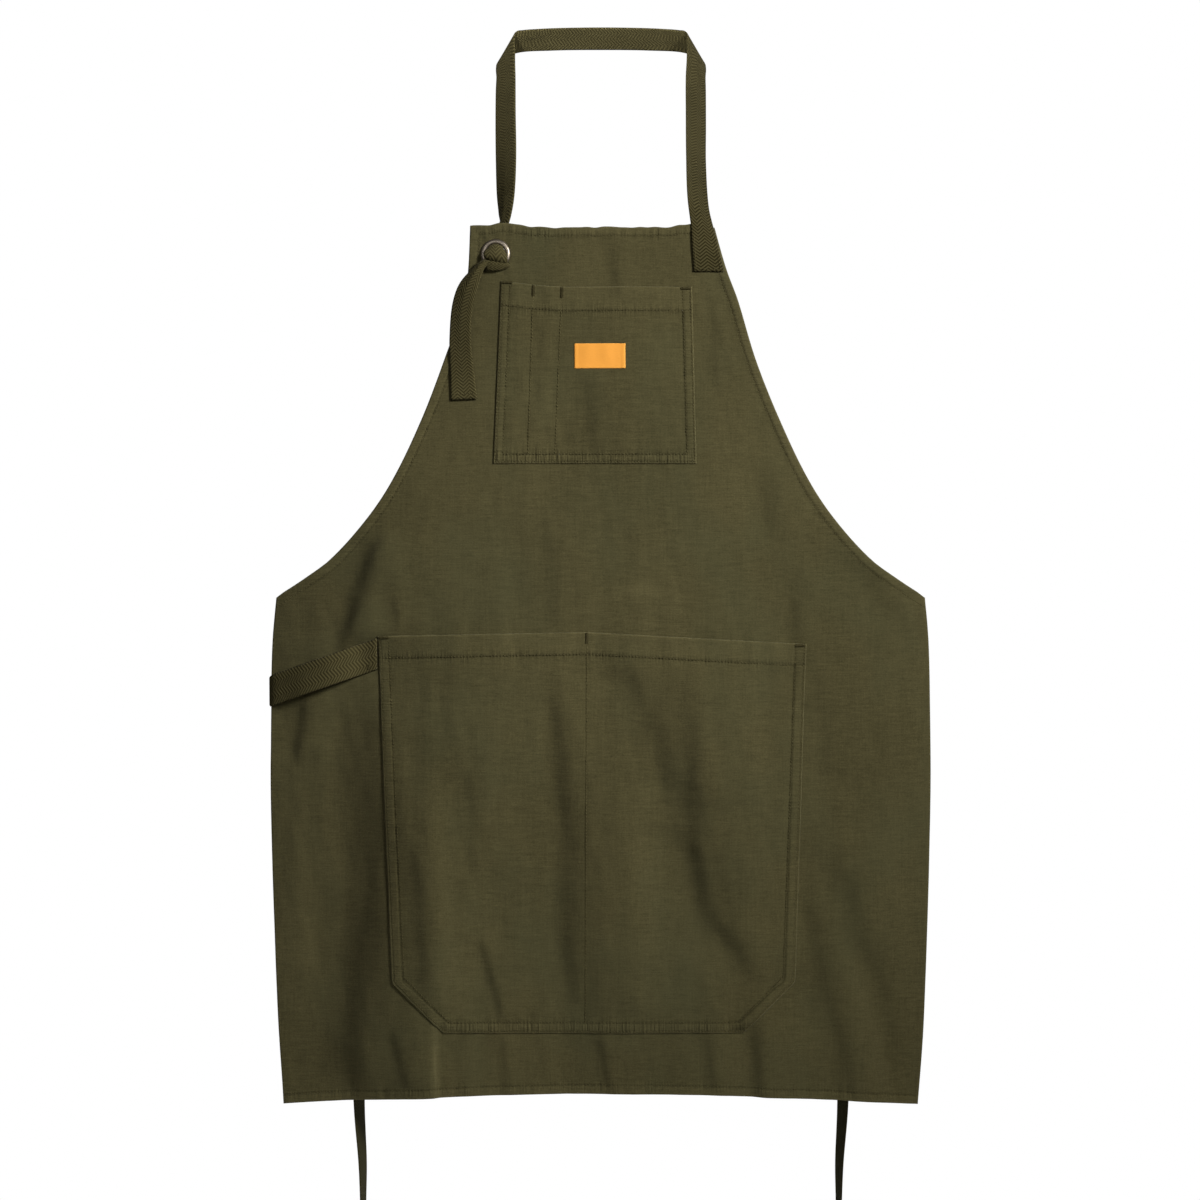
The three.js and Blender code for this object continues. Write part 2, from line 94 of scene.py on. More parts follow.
# Body: main heights, depth, and the hem's stitch line and inner edge as distances from the cloth's edge
BIB_TOP = -205
WAIST = -574.5
HEM_MIDDLE = -1072
HEM_CORNER_DROP = 15
CHEST_Y = -101
BELLY = 8
HALF_WIDTH = 330
SIDE_TURN_SQUARE = 18
SIDE_TURN_FOURTH = 20
HEM_STITCH = 9
HEM_EDGE = 10.4
HEM_STEP = 0.8
BODY_COLUMNS = 212
BIB_ROWS = 20
BIB_ROWS_TO = 60
BODY_ROWS = 135

# Stitch lines of the hems; those of the armholes run out to the sides between two heights from the waist.
# A distance of UNSEWN is far from any hem.
HEM_RUN_OUT = Sizes(start=14, end=-11)
UNSEWN = 30
ARMHOLE_LINE_POINTS = 160
TOP_LINE = {"start": -126, "stop": 92, "num": 90}
BOTTOM_LINE = {"start": -314, "stop": 313, "num": 160}

# Outline of the body's sides, by height
ARMHOLE = table(
    "z left right",
    (BIB_TOP, -131, 114),
    (-248, -133, 126),
    (-278, -137, 137),
    (-338, -157, 155),
    (-398, -180, 179),
    (-458, -209, 208),
    (-498, -236, 235),
    (-538, -273, 272),
    (-558, -301, 300),
    (-567, -315, 314),
    (WAIST, -327.5, 326.5),
)
SIDE = table(
    "z left right",
    (WAIST, -327.5, 326.5),
    (-618, -331.5, 330.5),
    (-679, -333, 332),
    (-780, -333.5, 332.5),
    (-982, -327, 326),
    (HEM_MIDDLE, -321, 320),
)

# Soft waves of the cloth, which grow down from one height to another, and a fine crumple
DRAPE = Sizes(rise=0.5, start=-420, full=-640)
CRUMPLE_RISE = 0.15

# Broad folds of the hanging cloth, then the steep sides of its folds; a negative rise is a valley
FOLD_FULL_FROM = 0.3
FOLD_FULL_TO = 0.75
FLANK_FADE = 0.22
FOLDS = table(
    "top_x top_z bottom_x bottom_z width rise",
    (-186, -618, -173, -1278, 42, 6.5),
    (-229, -498, -264, -1278, 42, -5.5),
    (-41, -658, -26, -1278, 32, -2.5),
    (11, -638, 19, -1278, 32, 3),
    (24, -640, 134, -960, 32, -3.5),
    (67, -650, 189, -970, 32, 4),
    (161, -860, 164, -1378, 32, 4),
    (239, -798, 304, -1278, 32, 4),
    (-216, -500, -240, -640, 30, 3),
)


def flank(half, step, reach, *path):
    """A steep side of a fold along a path of (x, z): the cloth comes forward by step from left to right.

    half is half the steep side's width, and the step dies away over reach on both sides of it.
    """
    x, z = np.array(path, float).T
    return Sizes(half=half, step=step, reach=reach, x=x, z=z)


FLANKS = [
    # left of the front pocket, from the armhole to the hem
    flank(6, 4.4, 40, (-221, -505), (-226, -518), (-239, -558), (-249, -593), (-266, -632)),
    flank(2.5, 1.2, 18, (-214, -548), (-206, -583), (-203, -612)),
    flank(4.5, 2.7, 25, (-298, -668), (-303, -708), (-309, -745)),
    flank(20, 5.5, 60, (-239, -650), (-239, -718), (-236, -778), (-235, -838), (-233, -920)),
    flank(22, 9, 60, (-232, -860), (-240, -918), (-246, -978), (-256, -1028), (-246, -1064), (-230, -1100)),
    flank(4, 1.5, 20, (-210, -1005), (-200, -1045), (-192, -1072)),
    # left bay of the front pocket, and below it
    flank(6, 1.7, 35, (-203, -812), (-186, -833), (-183, -858), (-179, -898), (-179, -938), (-181, -1000)),
    flank(14, -3.7, 45, (-164, -720), (-160, -800), (-152, -860), (-147, -900), (-148, -950), (-152, -1010)),
    flank(3, -3.4, 26, (-162, -985), (-165, -1015), (-165, -1045), (-163, -1120)),
    flank(4.5, 1.9, 30, (-122, -908), (-113, -945), (-104, -975), (-97, -1012)),
    flank(4.5, 1.5, 25, (-100, -1005), (-97, -1040), (-95, -1085)),
    flank(
        11, 3.8, 45,
        (-51, -620), (-41, -728), (-36, -768), (-31, -808), (-31, -848), (-33, -898), (-26, -1000),
    ),
    flank(6, 1.2, 30, (-131, -740), (-128, -860)),
    # right bay of the front pocket, and below it
    flank(13, 3.4, 36, (8, -624), (39, -668), (51, -698), (64, -738), (74, -790)),
    flank(12, 3.2, 34, (79, -628), (84, -678), (89, -708), (90, -780), (92, -850)),
    flank(
        9, 4.3, 40,
        (78, -795), (88, -822), (96, -848), (102, -878), (111, -898), (121, -910), (140, -930), (150, -975),
    ),
    flank(10, -2.7, 40, (33, -770), (38, -840), (42, -900), (44, -960), (46, -1010)),
    flank(22, -2.5, 60, (148, -620), (152, -700), (160, -800)),
    flank(4, 1.7, 22, (-3, -1010), (4, -1045), (10, -1080)),
    flank(4.5, 1.4, 22, (105, -1005), (109, -1040), (114, -1075)),
    flank(7, 4, 32, (152, -985), (156, -1040), (160, -1115)),
    # right of the front pocket
    flank(12, 2.4, 40, (217, -630), (222, -700), (228, -770)),
    flank(14, 5.2, 48, (214, -795), (249, -868), (261, -908), (279, -958), (296, -1018), (308, -1110)),
    flank(11, 4.2, 42, (204, -850), (218, -920), (229, -978), (244, -1028), (254, -1110)),
    flank(9, -3.4, 35, (245, -910), (252, -935), (269, -998), (292, -1100)),
    flank(8, 2, 30, (240, -525), (279, -568), (312, -612)),
    # bib and waist
    flank(6, 1.7, 30, (194, -535), (194, -580), (195, -640)),
    flank(9, 1.4, 40, (-52, -500), (-48, -560), (-45, -620)),
    flank(8, 1.5, 35, (160, -430), (168, -470), (178, -530)),
    flank(6, 1.5, 30, (8, -208), (13, -240), (16, -285)),
    flank(7, 1.4, 35, (-14, -345), (-10, -390), (-6, -440)),
    flank(5, 1.2, 30, (112, -285), (114, -320), (115, -380)),
]

# The bib's right corner is drawn back by the strap, and both strap places lift its top edge
CURL_DEPTH = 10
CURL_REACH = 28
CURL_DROP = 60
TOP_LIFTS = table("x rise width", (-133, 2, 12), (-97, 4.5, 14), (92, 3, 12))
TOP_LIFT_DROP = 40
TOP_RIPPLE = 0.35

# Sewn edges: how high the doubled cloth stands, how much lighter it is painted as a painted highlight, and
# over which distance it ends.
# Grooves, rims with wear and a painted highlight, painted shade along the stitch lines and puckers are pairs
# of strength and half width. The pocket's far line is fainter inside the hem of the mouth, so its strengths
# are those inside and below that hem.
BODY_EDGE = Sizes(
    band=0.9,
    band_ramp=1,
    band_tone=0.28,
    groove=(-1.0, 0.7),
    gathers=0.25,
    gathers_at=6,
    gathers_width=4,
    worn_rim=(0.8, 0.9),
    dark_line=(-0.5, 0.8),
    puckers=(0.45, 3.5),
    puckers_at=HEM_STITCH - 2,
)
POCKET_EDGE = Sizes(
    band=0.7,
    band_ramp=(0, 1.6),
    band_tone=0.18,
    tone_ramp=(-1, 1),
    near_groove=(-0.5, 0.5),
    far_groove=(-0.2, -0.6),
    hem_groove=(-0.6, 0.7),
    far_width=0.7,
    gathers=0.22,
    gathers_width=5,
    hem_gathers=(0.7, 6),
    worn_rim=(0.9, 0.8),
    near_dark=(-0.45, 0.7),
    far_dark=(-0.35, -0.85),
    hem_dark=(-0.45, 0.8),
    bottom_puckers=(0.9, 4.5),
    side_puckers=(0.35, 4.5),
    hem_puckers=(0.4, 4),
)

# Marks on the body: a painted highlight on a crease below the front pocket's left corner, and a faint painted
# highlight above its mouth;
# and on that pocket a painted shade in the crease of its right corner
MARK_COLUMNS = "x z half_width half_height strength"
BODY_PAINTED_LIGHT = table(
    MARK_COLUMNS,
    (-165.5, -1038, 1.2, 20, 1.0),
    (37, -569, 17, 4, 0.7),
)
POCKET_PAINTED_SHADE = table(MARK_COLUMNS, (139, -1006, 4, 3, -1.4))

# Pockets: seam lines from the mouth down, and how far each bay between them stands out
CHEST_POCKET = Sizes(
    seams=table(
        "top_x top_z bottom_x",
        (-100, -259, -107.5),
        (-67.5, -263, -73),
        (-39, -265, -46),
        (91, -265, 95.5),
    ),
    bulge=(0.6, 0.6, 3.6),
    bottom=-442,
    clip=0,
    flat=4,
    hem=24,
    groove=0.12,
    stitch=(2, 9.5),
    steps=(10, 10, 48),
    rows=46,
    seed=5,
)
FRONT_POCKET = Sizes(
    seams=table(
        "top_x top_z bottom_x",
        (-223.5, -614, -207),
        (-14, -610, -15.5),
        (205.5, -622, 193),
    ),
    bulge=(3.6, 3.6),
    bottom=-1011,
    clip=50,
    flat=11,
    hem=22,
    groove=0.1,
    stitch=(2, 10.8),
    steps=(78, 78),
    rows=96,
    seed=9,
)
CLIP_TURN = (-4, 8)
BULGE_POWER = 1.4
MOUTH_PHASE = 0.36
POCKET_WRINKLES = Sizes(across=60, down=120, rise=0.35, start=4, full=40)

# Sewing on the pockets: where its lines start and end, and the bars that hold the tops of the seams
BAY_GROOVE_WIDTH = 0.9
BAY_SEAM_END = 0.97
LINE_START = Sizes(side=0.6, hem=1.5, bay=1)
BAY_BAR = Sizes(top=1, bottom=11, lean=-0.3)
CORNER_BAR = Sizes(inset=2, down=1.6, length=9)

# Label, with its rim's places as shares of its thickness; and the eyelet, with the cloth pressed in under
# it and drawn into rays
LABEL = Sizes(left=-26.6, right=24.4, top=-322, bottom=-347, thick=0.9, gap=0.1)
LABEL_RIM = Sizes(middle=0.4, least=0.45)
LABEL_FOLD = Sizes(height=0.15, start=3, end=4, line=3.6)
# The label's rim is painted lighter, wear and a painted highlight, and the fold lines of its turned-in sides
# darker, a painted shade.
LABEL_RIM_WEAR_AND_HIGHLIGHT = (0.2, 0.5)
LABEL_FOLD_SHADE = (-0.2, 0.5)
LABEL_COLUMNS = 53
LABEL_ROWS = 26
EYELET = Sizes(x=-105.5, z=-232, hole=11.4)
EYELET_PRESS = Sizes(depth=0.5, start=13, end=17)
EYELET_RAYS = Sizes(count=9, turn=0.6, height=0.35, radius=18, width=3.2)

# Distances from an edge at which the cloth's grid is close enough for its rounding, hem and stitch line
EDGE_STEPS = np.array([0, 0.25, 0.8, 1.6, 3.2, 5.5, 7.4, 8.4, 9, 9.6, 10.4, 11.2, 12.6, 15.5])
POCKET_STEPS = np.array([0, 0.3, 0.8, 1.4, 2, 2.8, 4.4, 7, 8.6, 9.4, 10.2, 11, 12, 13.4, 16])
MOUTH_STEPS = np.array([0, 0.3, 0.9, 2, 5, 9, 13, 17, 20, 21.4, 22.2, 23, 23.8, 25, 28])
SEAM_STEPS = np.array([0, 0.5, 1.2, 2.6, 5])
LABEL_STEPS = np.array([0, 0.15, 0.4])


# Shared curves and fields


def smoothstep(value, low, high):
    t = np.clip((value - low) / (high - low), 0, 1)
    return t * t * (3 - 2 * t)


def lerp(a, b, t):
    return a + (b - a) * t


def bell(distance, width):
    return np.exp(-0.5 * (distance / width) ** 2)


def ridge(distance, strength, width):
    """A soft ridge along a line, or a groove where strength is below 0."""
    return strength * bell(distance, width)


def wrinkle_field(across, down, seed, count=26):
    """A fixed field of soft wrinkles of unit strength, about as long across and down as given."""
    rng = np.random.default_rng(seed)
    wave_x = rng.normal(0, 2 * math.pi / across, count)
    wave_z = rng.normal(0, 2 * math.pi / down, count)
    phase = rng.uniform(0, 2 * math.pi, count)

    def field(x, z):
        waves = sum(np.sin(a * x + b * z + c) for a, b, c in zip(wave_x, wave_z, phase))
        return waves / math.sqrt(count / 2)

    return field


drape = wrinkle_field(across=90, down=420, seed=3)
crumple = wrinkle_field(across=34, down=46, seed=4)
top_edge = wrinkle_field(across=30, down=1000, seed=8)
gather_level = wrinkle_field(across=12, down=1000, seed=6)
gather_upright = wrinkle_field(across=1000, down=22, seed=7)


def column(rows, name, z):
    """Smooth value of one column of a table at height z, for rows listed from the top down."""
    heights, values = rows.z, getattr(rows, name)
    ends = len(heights) - 1
    before = np.maximum(np.arange(ends + 1) - 1, 0)
    after = np.minimum(np.arange(ends + 1) + 1, ends)
    slopes = (values[after] - values[before]) / (heights[after] - heights[before])
    i = np.clip(np.searchsorted(-heights, -np.asarray(z, float), side="right") - 1, 0, ends - 1)
    step = heights[i + 1] - heights[i]
    t = np.clip((z - heights[i]) / step, 0, 1)
    lean = t * (1 - t) * step * ((1 - t) * slopes[i] - t * slopes[i + 1])
    return lerp(values[i], values[i + 1], t * t * (3 - 2 * t)) + lean


def edge(name, z):
    """Sideways place of the cloth's left or right edge at height z."""
    return np.where(z > WAIST, column(ARMHOLE, name, z), column(SIDE, name, z))


def edge_stretch(name, z, reach=6.0):
    """How much further a distance square to the edge measures when taken sideways."""
    slope = (edge(name, z + reach) - edge(name, z - reach)) / (2 * reach)
    return np.sqrt(1 + slope ** 2)


def fold_rise(x, z):
    rise = 0
    for top_x, top_z, bottom_x, bottom_z, width, height in rows_of(FOLDS):
        along = (top_z - z) / (top_z - bottom_z)
        fade = smoothstep(along, 0, FOLD_FULL_FROM) * (1 - smoothstep(along, FOLD_FULL_TO, 1))
        rise += height * fade * bell(x - lerp(top_x, bottom_x, along), width)
    return rise


def flank_rise(x, z, reach=4.0):
    rise = 0
    for row in FLANKS:
        along = (row.z[0] - z) / (row.z[0] - row.z[-1])
        fade = smoothstep(along, 0, FLANK_FADE) * (1 - smoothstep(along, 1 - FLANK_FADE, 1))
        lean = (column(row, "x", z + reach) - column(row, "x", z - reach)) / (2 * reach)
        aside = (x - column(row, "x", z)) / np.sqrt(1 + lean ** 2)
        rise += row.step * fade * np.tanh(aside / row.half) * bell(aside, row.reach)
    return rise


def corner_curl(x, z):
    right = edge("right", z)
    across = smoothstep(x, right - CURL_REACH, right + CURL_REACH)
    return 2 * CURL_DEPTH * across * (1 - smoothstep(BIB_TOP - z, 0, CURL_DROP))


def front_y(x, z):
    """Depth of the cloth's front face, with its folds and wrinkles."""
    across = x / HALF_WIDTH
    turn = SIDE_TURN_SQUARE * across ** 2 + SIDE_TURN_FOURTH * across ** 4
    belly = BELLY * np.sin(math.pi * (z - BIB_TOP) / (HEM_MIDDLE - BIB_TOP))
    hanging = 1 - smoothstep(z, DRAPE.full, DRAPE.start)
    soft = DRAPE.rise * drape(x, z) * hanging + CRUMPLE_RISE * crumple(x, z)
    rise = fold_rise(x, z) + flank_rise(x, z) + soft
    return CHEST_Y - belly + turn - rise + corner_curl(x, z)


def off_cloth(distance):
    """A surface y(x, z) that lies this far behind the cloth's front face."""

    def surface(x, z):
        return front_y(x, z) + distance

    return surface


def painted_light_marks(marks, x, z):
    tone = 0
    for at_x, at_z, half_width, half_height, strength in rows_of(marks):
        tone += ridge(x - at_x, strength, half_width) * bell(z - at_z, half_height)
    return tone


def cloth_points(x, z, lift):
    x, z, lift = np.broadcast_arrays(x, z, lift)
    return np.stack([x, front_y(x, z) - lift, z], -1)


# Mesh parts: a part is a dict of points, faces and values at its points, in millimetres.
# uv is the distance across and along a tape, tone makes it lighter above 0 and darker below 0, as painted
# highlight and painted shade and, on rims, as wear, and level and upright are nearness to a seam that runs
# level or upright.
POINT_VALUES = ("tone", "level", "upright")


def plain_values(count):
    return {"uv": np.zeros((count, 2)), **{key: np.zeros(count) for key in POINT_VALUES}}


def rounded(distance, radius):
    """From 0 at an edge to 1 inside it, as a quarter round."""
    return np.sqrt(1 - (1 - np.clip(distance / radius, 0, 1)) ** 2)


def grid_faces(index):
    quads = [index[:-1, :-1], index[1:, :-1], index[1:, 1:], index[:-1, 1:]]
    return np.stack(quads, -1).reshape(-1, 4)


def shell(front, back, uv=None, **values):
    """A thin closed part between two grids of points that share their rim."""
    rows, columns = front.shape[:2]
    inside = np.zeros((rows, columns), bool)
    inside[1:-1, 1:-1] = True
    index = np.arange(rows * columns).reshape(rows, columns)
    behind = index.copy()
    behind[inside] = rows * columns + np.arange(inside.sum())
    uv = np.zeros((rows, columns, 2)) if uv is None else uv
    part = {
        "points": np.concatenate([front.reshape(-1, 3), back[inside]]),
        "faces": np.concatenate([grid_faces(index), grid_faces(behind)[:, ::-1]]),
        "uv": np.concatenate([uv.reshape(-1, 2), uv[inside]]),
        "behind": behind.ravel(),
    }
    for key in POINT_VALUES:
        value = np.broadcast_to(values.get(key, 0.0), (rows, columns))
        part[key] = np.concatenate([value.ravel(), value[inside]])
    return part


def cloth_shell(x, z, front, back, uv=None, **values):
    """A thin closed part between a front and a back depth at each place of a grid."""
    return shell(np.stack([x, front, z], -1), np.stack([x, back, z], -1), uv, **values)


def joined(parts):
    """Several parts as one."""
    starts = np.cumsum([0] + [len(part["points"]) for part in parts[:-1]])
    keys = ("points", "uv", *POINT_VALUES)
    made = {key: np.concatenate([part[key] for part in parts]) for key in keys}
    made["faces"] = np.concatenate([part["faces"] + start for part, start in zip(parts, starts)])
    return made


def add_piece(name, part, material, stands_for=None):
    """Makes an object of a part, and lets it ride on the frame."""
    mesh = bpy.data.meshes.new(name)
    mesh.from_pydata((part["points"] * MM).tolist(), [], part["faces"].tolist())
    corners = np.zeros(len(mesh.loops), np.int32)
    mesh.loops.foreach_get("vertex_index", corners)
    layer = mesh.uv_layers.new(name="along")
    layer.data.foreach_set("uv", (part["uv"][corners] * MM).astype(np.float32).ravel())
    for key in POINT_VALUES:
        mesh.attributes.new(key, "FLOAT", "POINT").data.foreach_set("value", part[key].astype(np.float32))
    mesh.materials.append(material)
    mesh.shade_smooth()
    mesh.validate()
    made = bpy.data.objects.new(name, mesh)
    bpy.context.scene.collection.objects.link(made)
    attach(made, "root")
    if stands_for:
        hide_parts(stands_for)
    return made


# Stitching


def walked(line):
    """Distance walked from a line's start to each of its points."""
    return np.concatenate([[0], np.cumsum(np.linalg.norm(np.diff(line, axis=0), axis=1))])


def at_places(places, run, points):
    """Points at places along a line, or directions that belong to its points."""
    return np.stack([np.interp(places, run, values) for values in points.T], -1)


def resampled(corners, step=1.0):
    """Points at even steps along the straight lines between corners."""
    corners = np.asarray(corners, float)
    run = walked(corners)
    return at_places(np.linspace(0, run[-1], max(2, int(run[-1] / step) + 1)), run, corners)


def facing(surface, x, z, reach=1.5):
    """The way a surface y(x, z) faces."""
    lean_x = (surface(x + reach, z) - surface(x - reach, z)) / (2 * reach)
    lean_z = (surface(x, z + reach) - surface(x, z - reach)) / (2 * reach)
    out = np.stack([lean_x, -np.ones_like(lean_x), lean_z], -1)
    return out / np.linalg.norm(out, axis=-1, keepdims=True)


def thread_line(surface, corners, behind=False):
    """Points and outward directions along a line of (x, z) corners on a surface y(x, z)."""
    line = resampled(corners)
    x, z = line[:, 0], line[:, 1]
    out = facing(surface, x, z)
    return np.stack([x, surface(x, z), z], -1), -out if behind else out


def stitches(line, out, pitch, gap, radius, tone):
    """A row of raised threads along a line of points; each dips into the cloth at its ends."""
    run = walked(line)
    count = max(1, int(run[-1] / pitch))
    pitch = run[-1] / count
    rise = radius * STITCH_SHAPE.rise
    girth = radius * STITCH_SHAPE.girth
    # Each stitch is painted darker at its ends, a painted shade where the thread dips into the cloth.
    shade = tone + STITCH_SHAPE.shade
    places = pitch * np.arange(count)[:, None] + gap / 2 + STITCH_SHAPE.along * (pitch - gap)
    centre = at_places(places, run, line)
    up = at_places(places, run, out)
    ahead = centre[:, -1:] - centre[:, :1]
    side = np.cross(ahead / np.linalg.norm(ahead, axis=-1, keepdims=True), up)
    centre = centre + up * rise[:, None]
    angle = 2 * math.pi * np.arange(STITCH_SIDES) / STITCH_SIDES
    ring = np.cos(angle)[:, None] * side[:, :, None] + np.sin(angle)[:, None] * up[:, :, None]
    points = centre[:, :, None] + ring * girth[:, None, None]
    rings = len(rise)
    first = np.arange(rings * STITCH_SIDES).reshape(rings, STITCH_SIDES)
    wrapped = np.concatenate([first, first[:, :1]], axis=1)
    start_cap = first[0, [[0, 1, 2, 3], [0, 3, 4, 5]]]
    end_cap = first[-1, [[3, 2, 1, 0], [5, 4, 3, 0]]]
    faces = np.concatenate([grid_faces(wrapped), start_cap, end_cap])
    size = rings * STITCH_SIDES
    return {
        "points": points.reshape(-1, 3),
        "faces": (faces + size * np.arange(count)[:, None, None]).reshape(-1, 4),
        **plain_values(count * size),
        "tone": np.repeat(np.broadcast_to(shade, (count, rings)), STITCH_SIDES),
    }


def stitch_row(surface, corners, behind=False, tone=0.0):
    return stitches(*thread_line(surface, corners, behind), **STITCH, tone=tone)


def bartack(surface, start, end):
    """A short bar of close cross threads between two (x, z) places."""
    start, end = np.array(start, float), np.array(end, float)
    length = np.linalg.norm(end - start)
    ahead = (end - start) / length
    aside = np.array([-ahead[1], ahead[0]]) * BAR_THREAD["pitch"] / 2
    count = int(length / BAR_SPACING)
    threads = []
    for k in range(count + 1):
        middle = lerp(start, end, k / count)
        line = thread_line(surface, [middle - aside, middle + aside])
        threads.append(stitches(*line, **BAR_THREAD))
    return joined(threads)


# Apron body


def top_lift(x):
    """How far the strap lifts the bib's top edge."""
    return sum(ridge(x - at, rise, width) for at, rise, width in rows_of(TOP_LIFTS))


def corner_drop(x):
    """How far the hem hangs lower towards its corners."""
    return HEM_CORNER_DROP * (x / edge("right", HEM_MIDDLE)) ** 2


def body_grid():
    """Places of the body's grid, with distances from its sides and from its top and bottom."""
    depth = BIB_TOP - HEM_MIDDLE
    bib = np.linspace(EDGE_STEPS[-1], BIB_ROWS_TO, BIB_ROWS + 1)[1:]
    middle = np.linspace(BIB_ROWS_TO, depth - EDGE_STEPS[-1], BODY_ROWS + 1)[1:-1]
    down = np.concatenate([EDGE_STEPS, bib, middle, depth - EDGE_STEPS[::-1]])
    flat_z = BIB_TOP - down[:, None]
    left = edge("left", flat_z) + EDGE_STEPS * edge_stretch("left", flat_z)
    right = edge("right", flat_z) - EDGE_STEPS[::-1] * edge_stretch("right", flat_z)
    share = np.linspace(0, 1, BODY_COLUMNS + 1)[1:-1]
    x = np.concatenate([left, lerp(left[:, -1:], right[:, :1], share), right], axis=1)
    inner = np.full(BODY_COLUMNS - 1, EDGE_STEPS[-1])
    aside = np.concatenate([EDGE_STEPS, inner, EDGE_STEPS[::-1]])
    ends = np.minimum(down, depth - down)[:, None]
    near_hem = 1 - smoothstep(flat_z, HEM_MIDDLE, WAIST)
    near_top = 1 - smoothstep(down, 0, TOP_LIFT_DROP)[:, None]
    ripple = TOP_RIPPLE * top_edge(x, flat_z)
    z = flat_z - corner_drop(x) * near_hem + (top_lift(x) + ripple) * near_top
    return x, z, np.broadcast_to(aside, x.shape), np.broadcast_to(ends, x.shape)


def sewn_side(side, z):
    """Distance from a hemmed side; the skirt's straight sides show no hem, so they count as far away."""
    return side + UNSEWN * (1 - smoothstep(z, WAIST, WAIST + HEM_EDGE))


def hem_relief(side, end, x, z):
    """Raised hem band with the groove of its stitch line and the gathers beside it."""
    distance = np.minimum(side, end)
    band = BODY_EDGE.band * (1 - smoothstep(distance, HEM_STITCH, HEM_EDGE + BODY_EDGE.band_ramp))
    groove = ridge(distance - HEM_STITCH, *BODY_EDGE.groove)
    at, width = BODY_EDGE.gathers_at, BODY_EDGE.gathers_width
    gathers = gather_level(x, z) * bell(end - at, width) + gather_upright(x, z) * bell(side - at, width)
    return band + groove + BODY_EDGE.gathers * gathers


def around_eyelet(x, z):
    """Relief of the cloth that is pressed in under the eyelet's rim and drawn into small rays around it."""
    radius = np.hypot(x - EYELET.x, z - EYELET.z)
    angle = np.arctan2(z - EYELET.z, x - EYELET.x)
    ring = ridge(radius - EYELET_RAYS.radius, EYELET_RAYS.height, EYELET_RAYS.width)
    rays = ring * np.cos(EYELET_RAYS.count * angle + EYELET_RAYS.turn)
    pressed = 1 - smoothstep(radius, EYELET_PRESS.start, EYELET_PRESS.end)
    return rays - EYELET_PRESS.depth * pressed


def with_hole(part):
    """Cuts the eyelet's hole through both faces of the body's part, and joins the two rims."""
    faces, behind = part["faces"], part["behind"]
    centres = part["points"][faces].mean(1)
    radius = np.hypot(centres[:, 0] - EYELET.x, centres[:, 2] - EYELET.z)
    kept = faces[radius > EYELET.hole]
    edges = np.concatenate([kept[:, [k, (k + 1) % 4]] for k in range(4)])
    known = {tuple(pair) for pair in edges.tolist()}
    open_edges = [pair for pair in known if pair[::-1] not in known]
    in_front = [(a, b) for a, b in open_edges if max(a, b) < len(behind)]
    wall = [[b, a, behind[a], behind[b]] for a, b in in_front]
    return {**part, "faces": np.concatenate([kept, np.array(wall)])}


def apron_body(material):
    x, z, side, end = body_grid()
    distance = np.minimum(side, end)
    hemmed = sewn_side(side, z)
    from_hem = np.minimum(hemmed, end)
    relief = hem_relief(hemmed, end, x, z) + around_eyelet(x, z)
    half = HEM_THICK / 2
    base = front_y(x, z)
    swell = rounded(distance, EDGE_RADIUS.body)
    tuck = half * (1 - swell)
    thick = lerp(HEM_THICK, CANVAS, smoothstep(distance, HEM_EDGE, HEM_EDGE + HEM_STEP))
    on_rim = distance <= 0
    front = np.where(on_rim, base + half, base - relief * swell + tuck)
    back = np.where(on_rim, base + half, base + thick - tuck)
    # Painted tone: rims lighter with wear and a painted highlight, a painted shade along the hem's stitch
    # groove, a painted highlight on the doubled hem band, and the painted marks.
    tone = ridge(distance, *BODY_EDGE.worn_rim) + ridge(from_hem - HEM_STITCH, *BODY_EDGE.dark_line)
    tone += BODY_EDGE.band_tone * (1 - smoothstep(from_hem, HEM_STITCH - 1, HEM_EDGE))
    tone += painted_light_marks(BODY_PAINTED_LIGHT, x, z)
    level = ridge(end - BODY_EDGE.puckers_at, *BODY_EDGE.puckers)
    upright = ridge(hemmed - BODY_EDGE.puckers_at, *BODY_EDGE.puckers)
    part = cloth_shell(x, z, front, back, tone=tone, level=level, upright=upright)
    return add_piece("apron_body", with_hole(part), material, "apron_body")


def hem_lines():
    """Lines of (x, z) along which the body's hems are sewn; the armholes' lines run out at the sides."""
    bib = np.linspace(BIB_TOP - HEM_STITCH, WAIST + HEM_RUN_OUT.start, ARMHOLE_LINE_POINTS)
    last = WAIST + HEM_RUN_OUT.end
    lines = []
    for name, way in (("left", 1), ("right", -1)):
        x = edge(name, bib) + way * HEM_STITCH * edge_stretch(name, bib)
        lines.append(np.append(np.stack([x, bib], -1), [(edge(name, last) + way, last)], axis=0))
    top = np.linspace(**TOP_LINE)
    bottom = np.linspace(**BOTTOM_LINE)
    lines.append(np.stack([top, BIB_TOP - HEM_STITCH + top_lift(top)], -1))
    lines.append(np.stack([bottom, HEM_MIDDLE + HEM_STITCH - corner_drop(bottom)], -1))
    return lines


# Pockets


def mouth_z(pocket, x):
    seams = pocket.seams
    return np.interp(x, seams.top_x, seams.top_z)


def seam_x(pocket, k, v):
    """Sideways place of seam k at share v of the pocket's depth, with the clipped corners taken in."""
    seams = pocket.seams
    last = len(seams.top_x) - 1
    x = lerp(seams.top_x[k], seams.bottom_x[k], v)
    depth = seams.top_z[k] - pocket.bottom
    inwards = np.maximum(0, pocket.clip - (1 - v) * depth)
    return x + inwards * {0: 1, last: -1}.get(k, 0)


def seam_stretch(pocket, k, v):
    """How much further a distance square to an outer seam measures when taken sideways."""
    depth = pocket.seams.top_z[k] - pocket.bottom
    clipped = smoothstep(pocket.clip - (1 - v) * depth, *CLIP_TURN)
    return lerp(1, math.sqrt(2), clipped * (pocket.clip > 0))


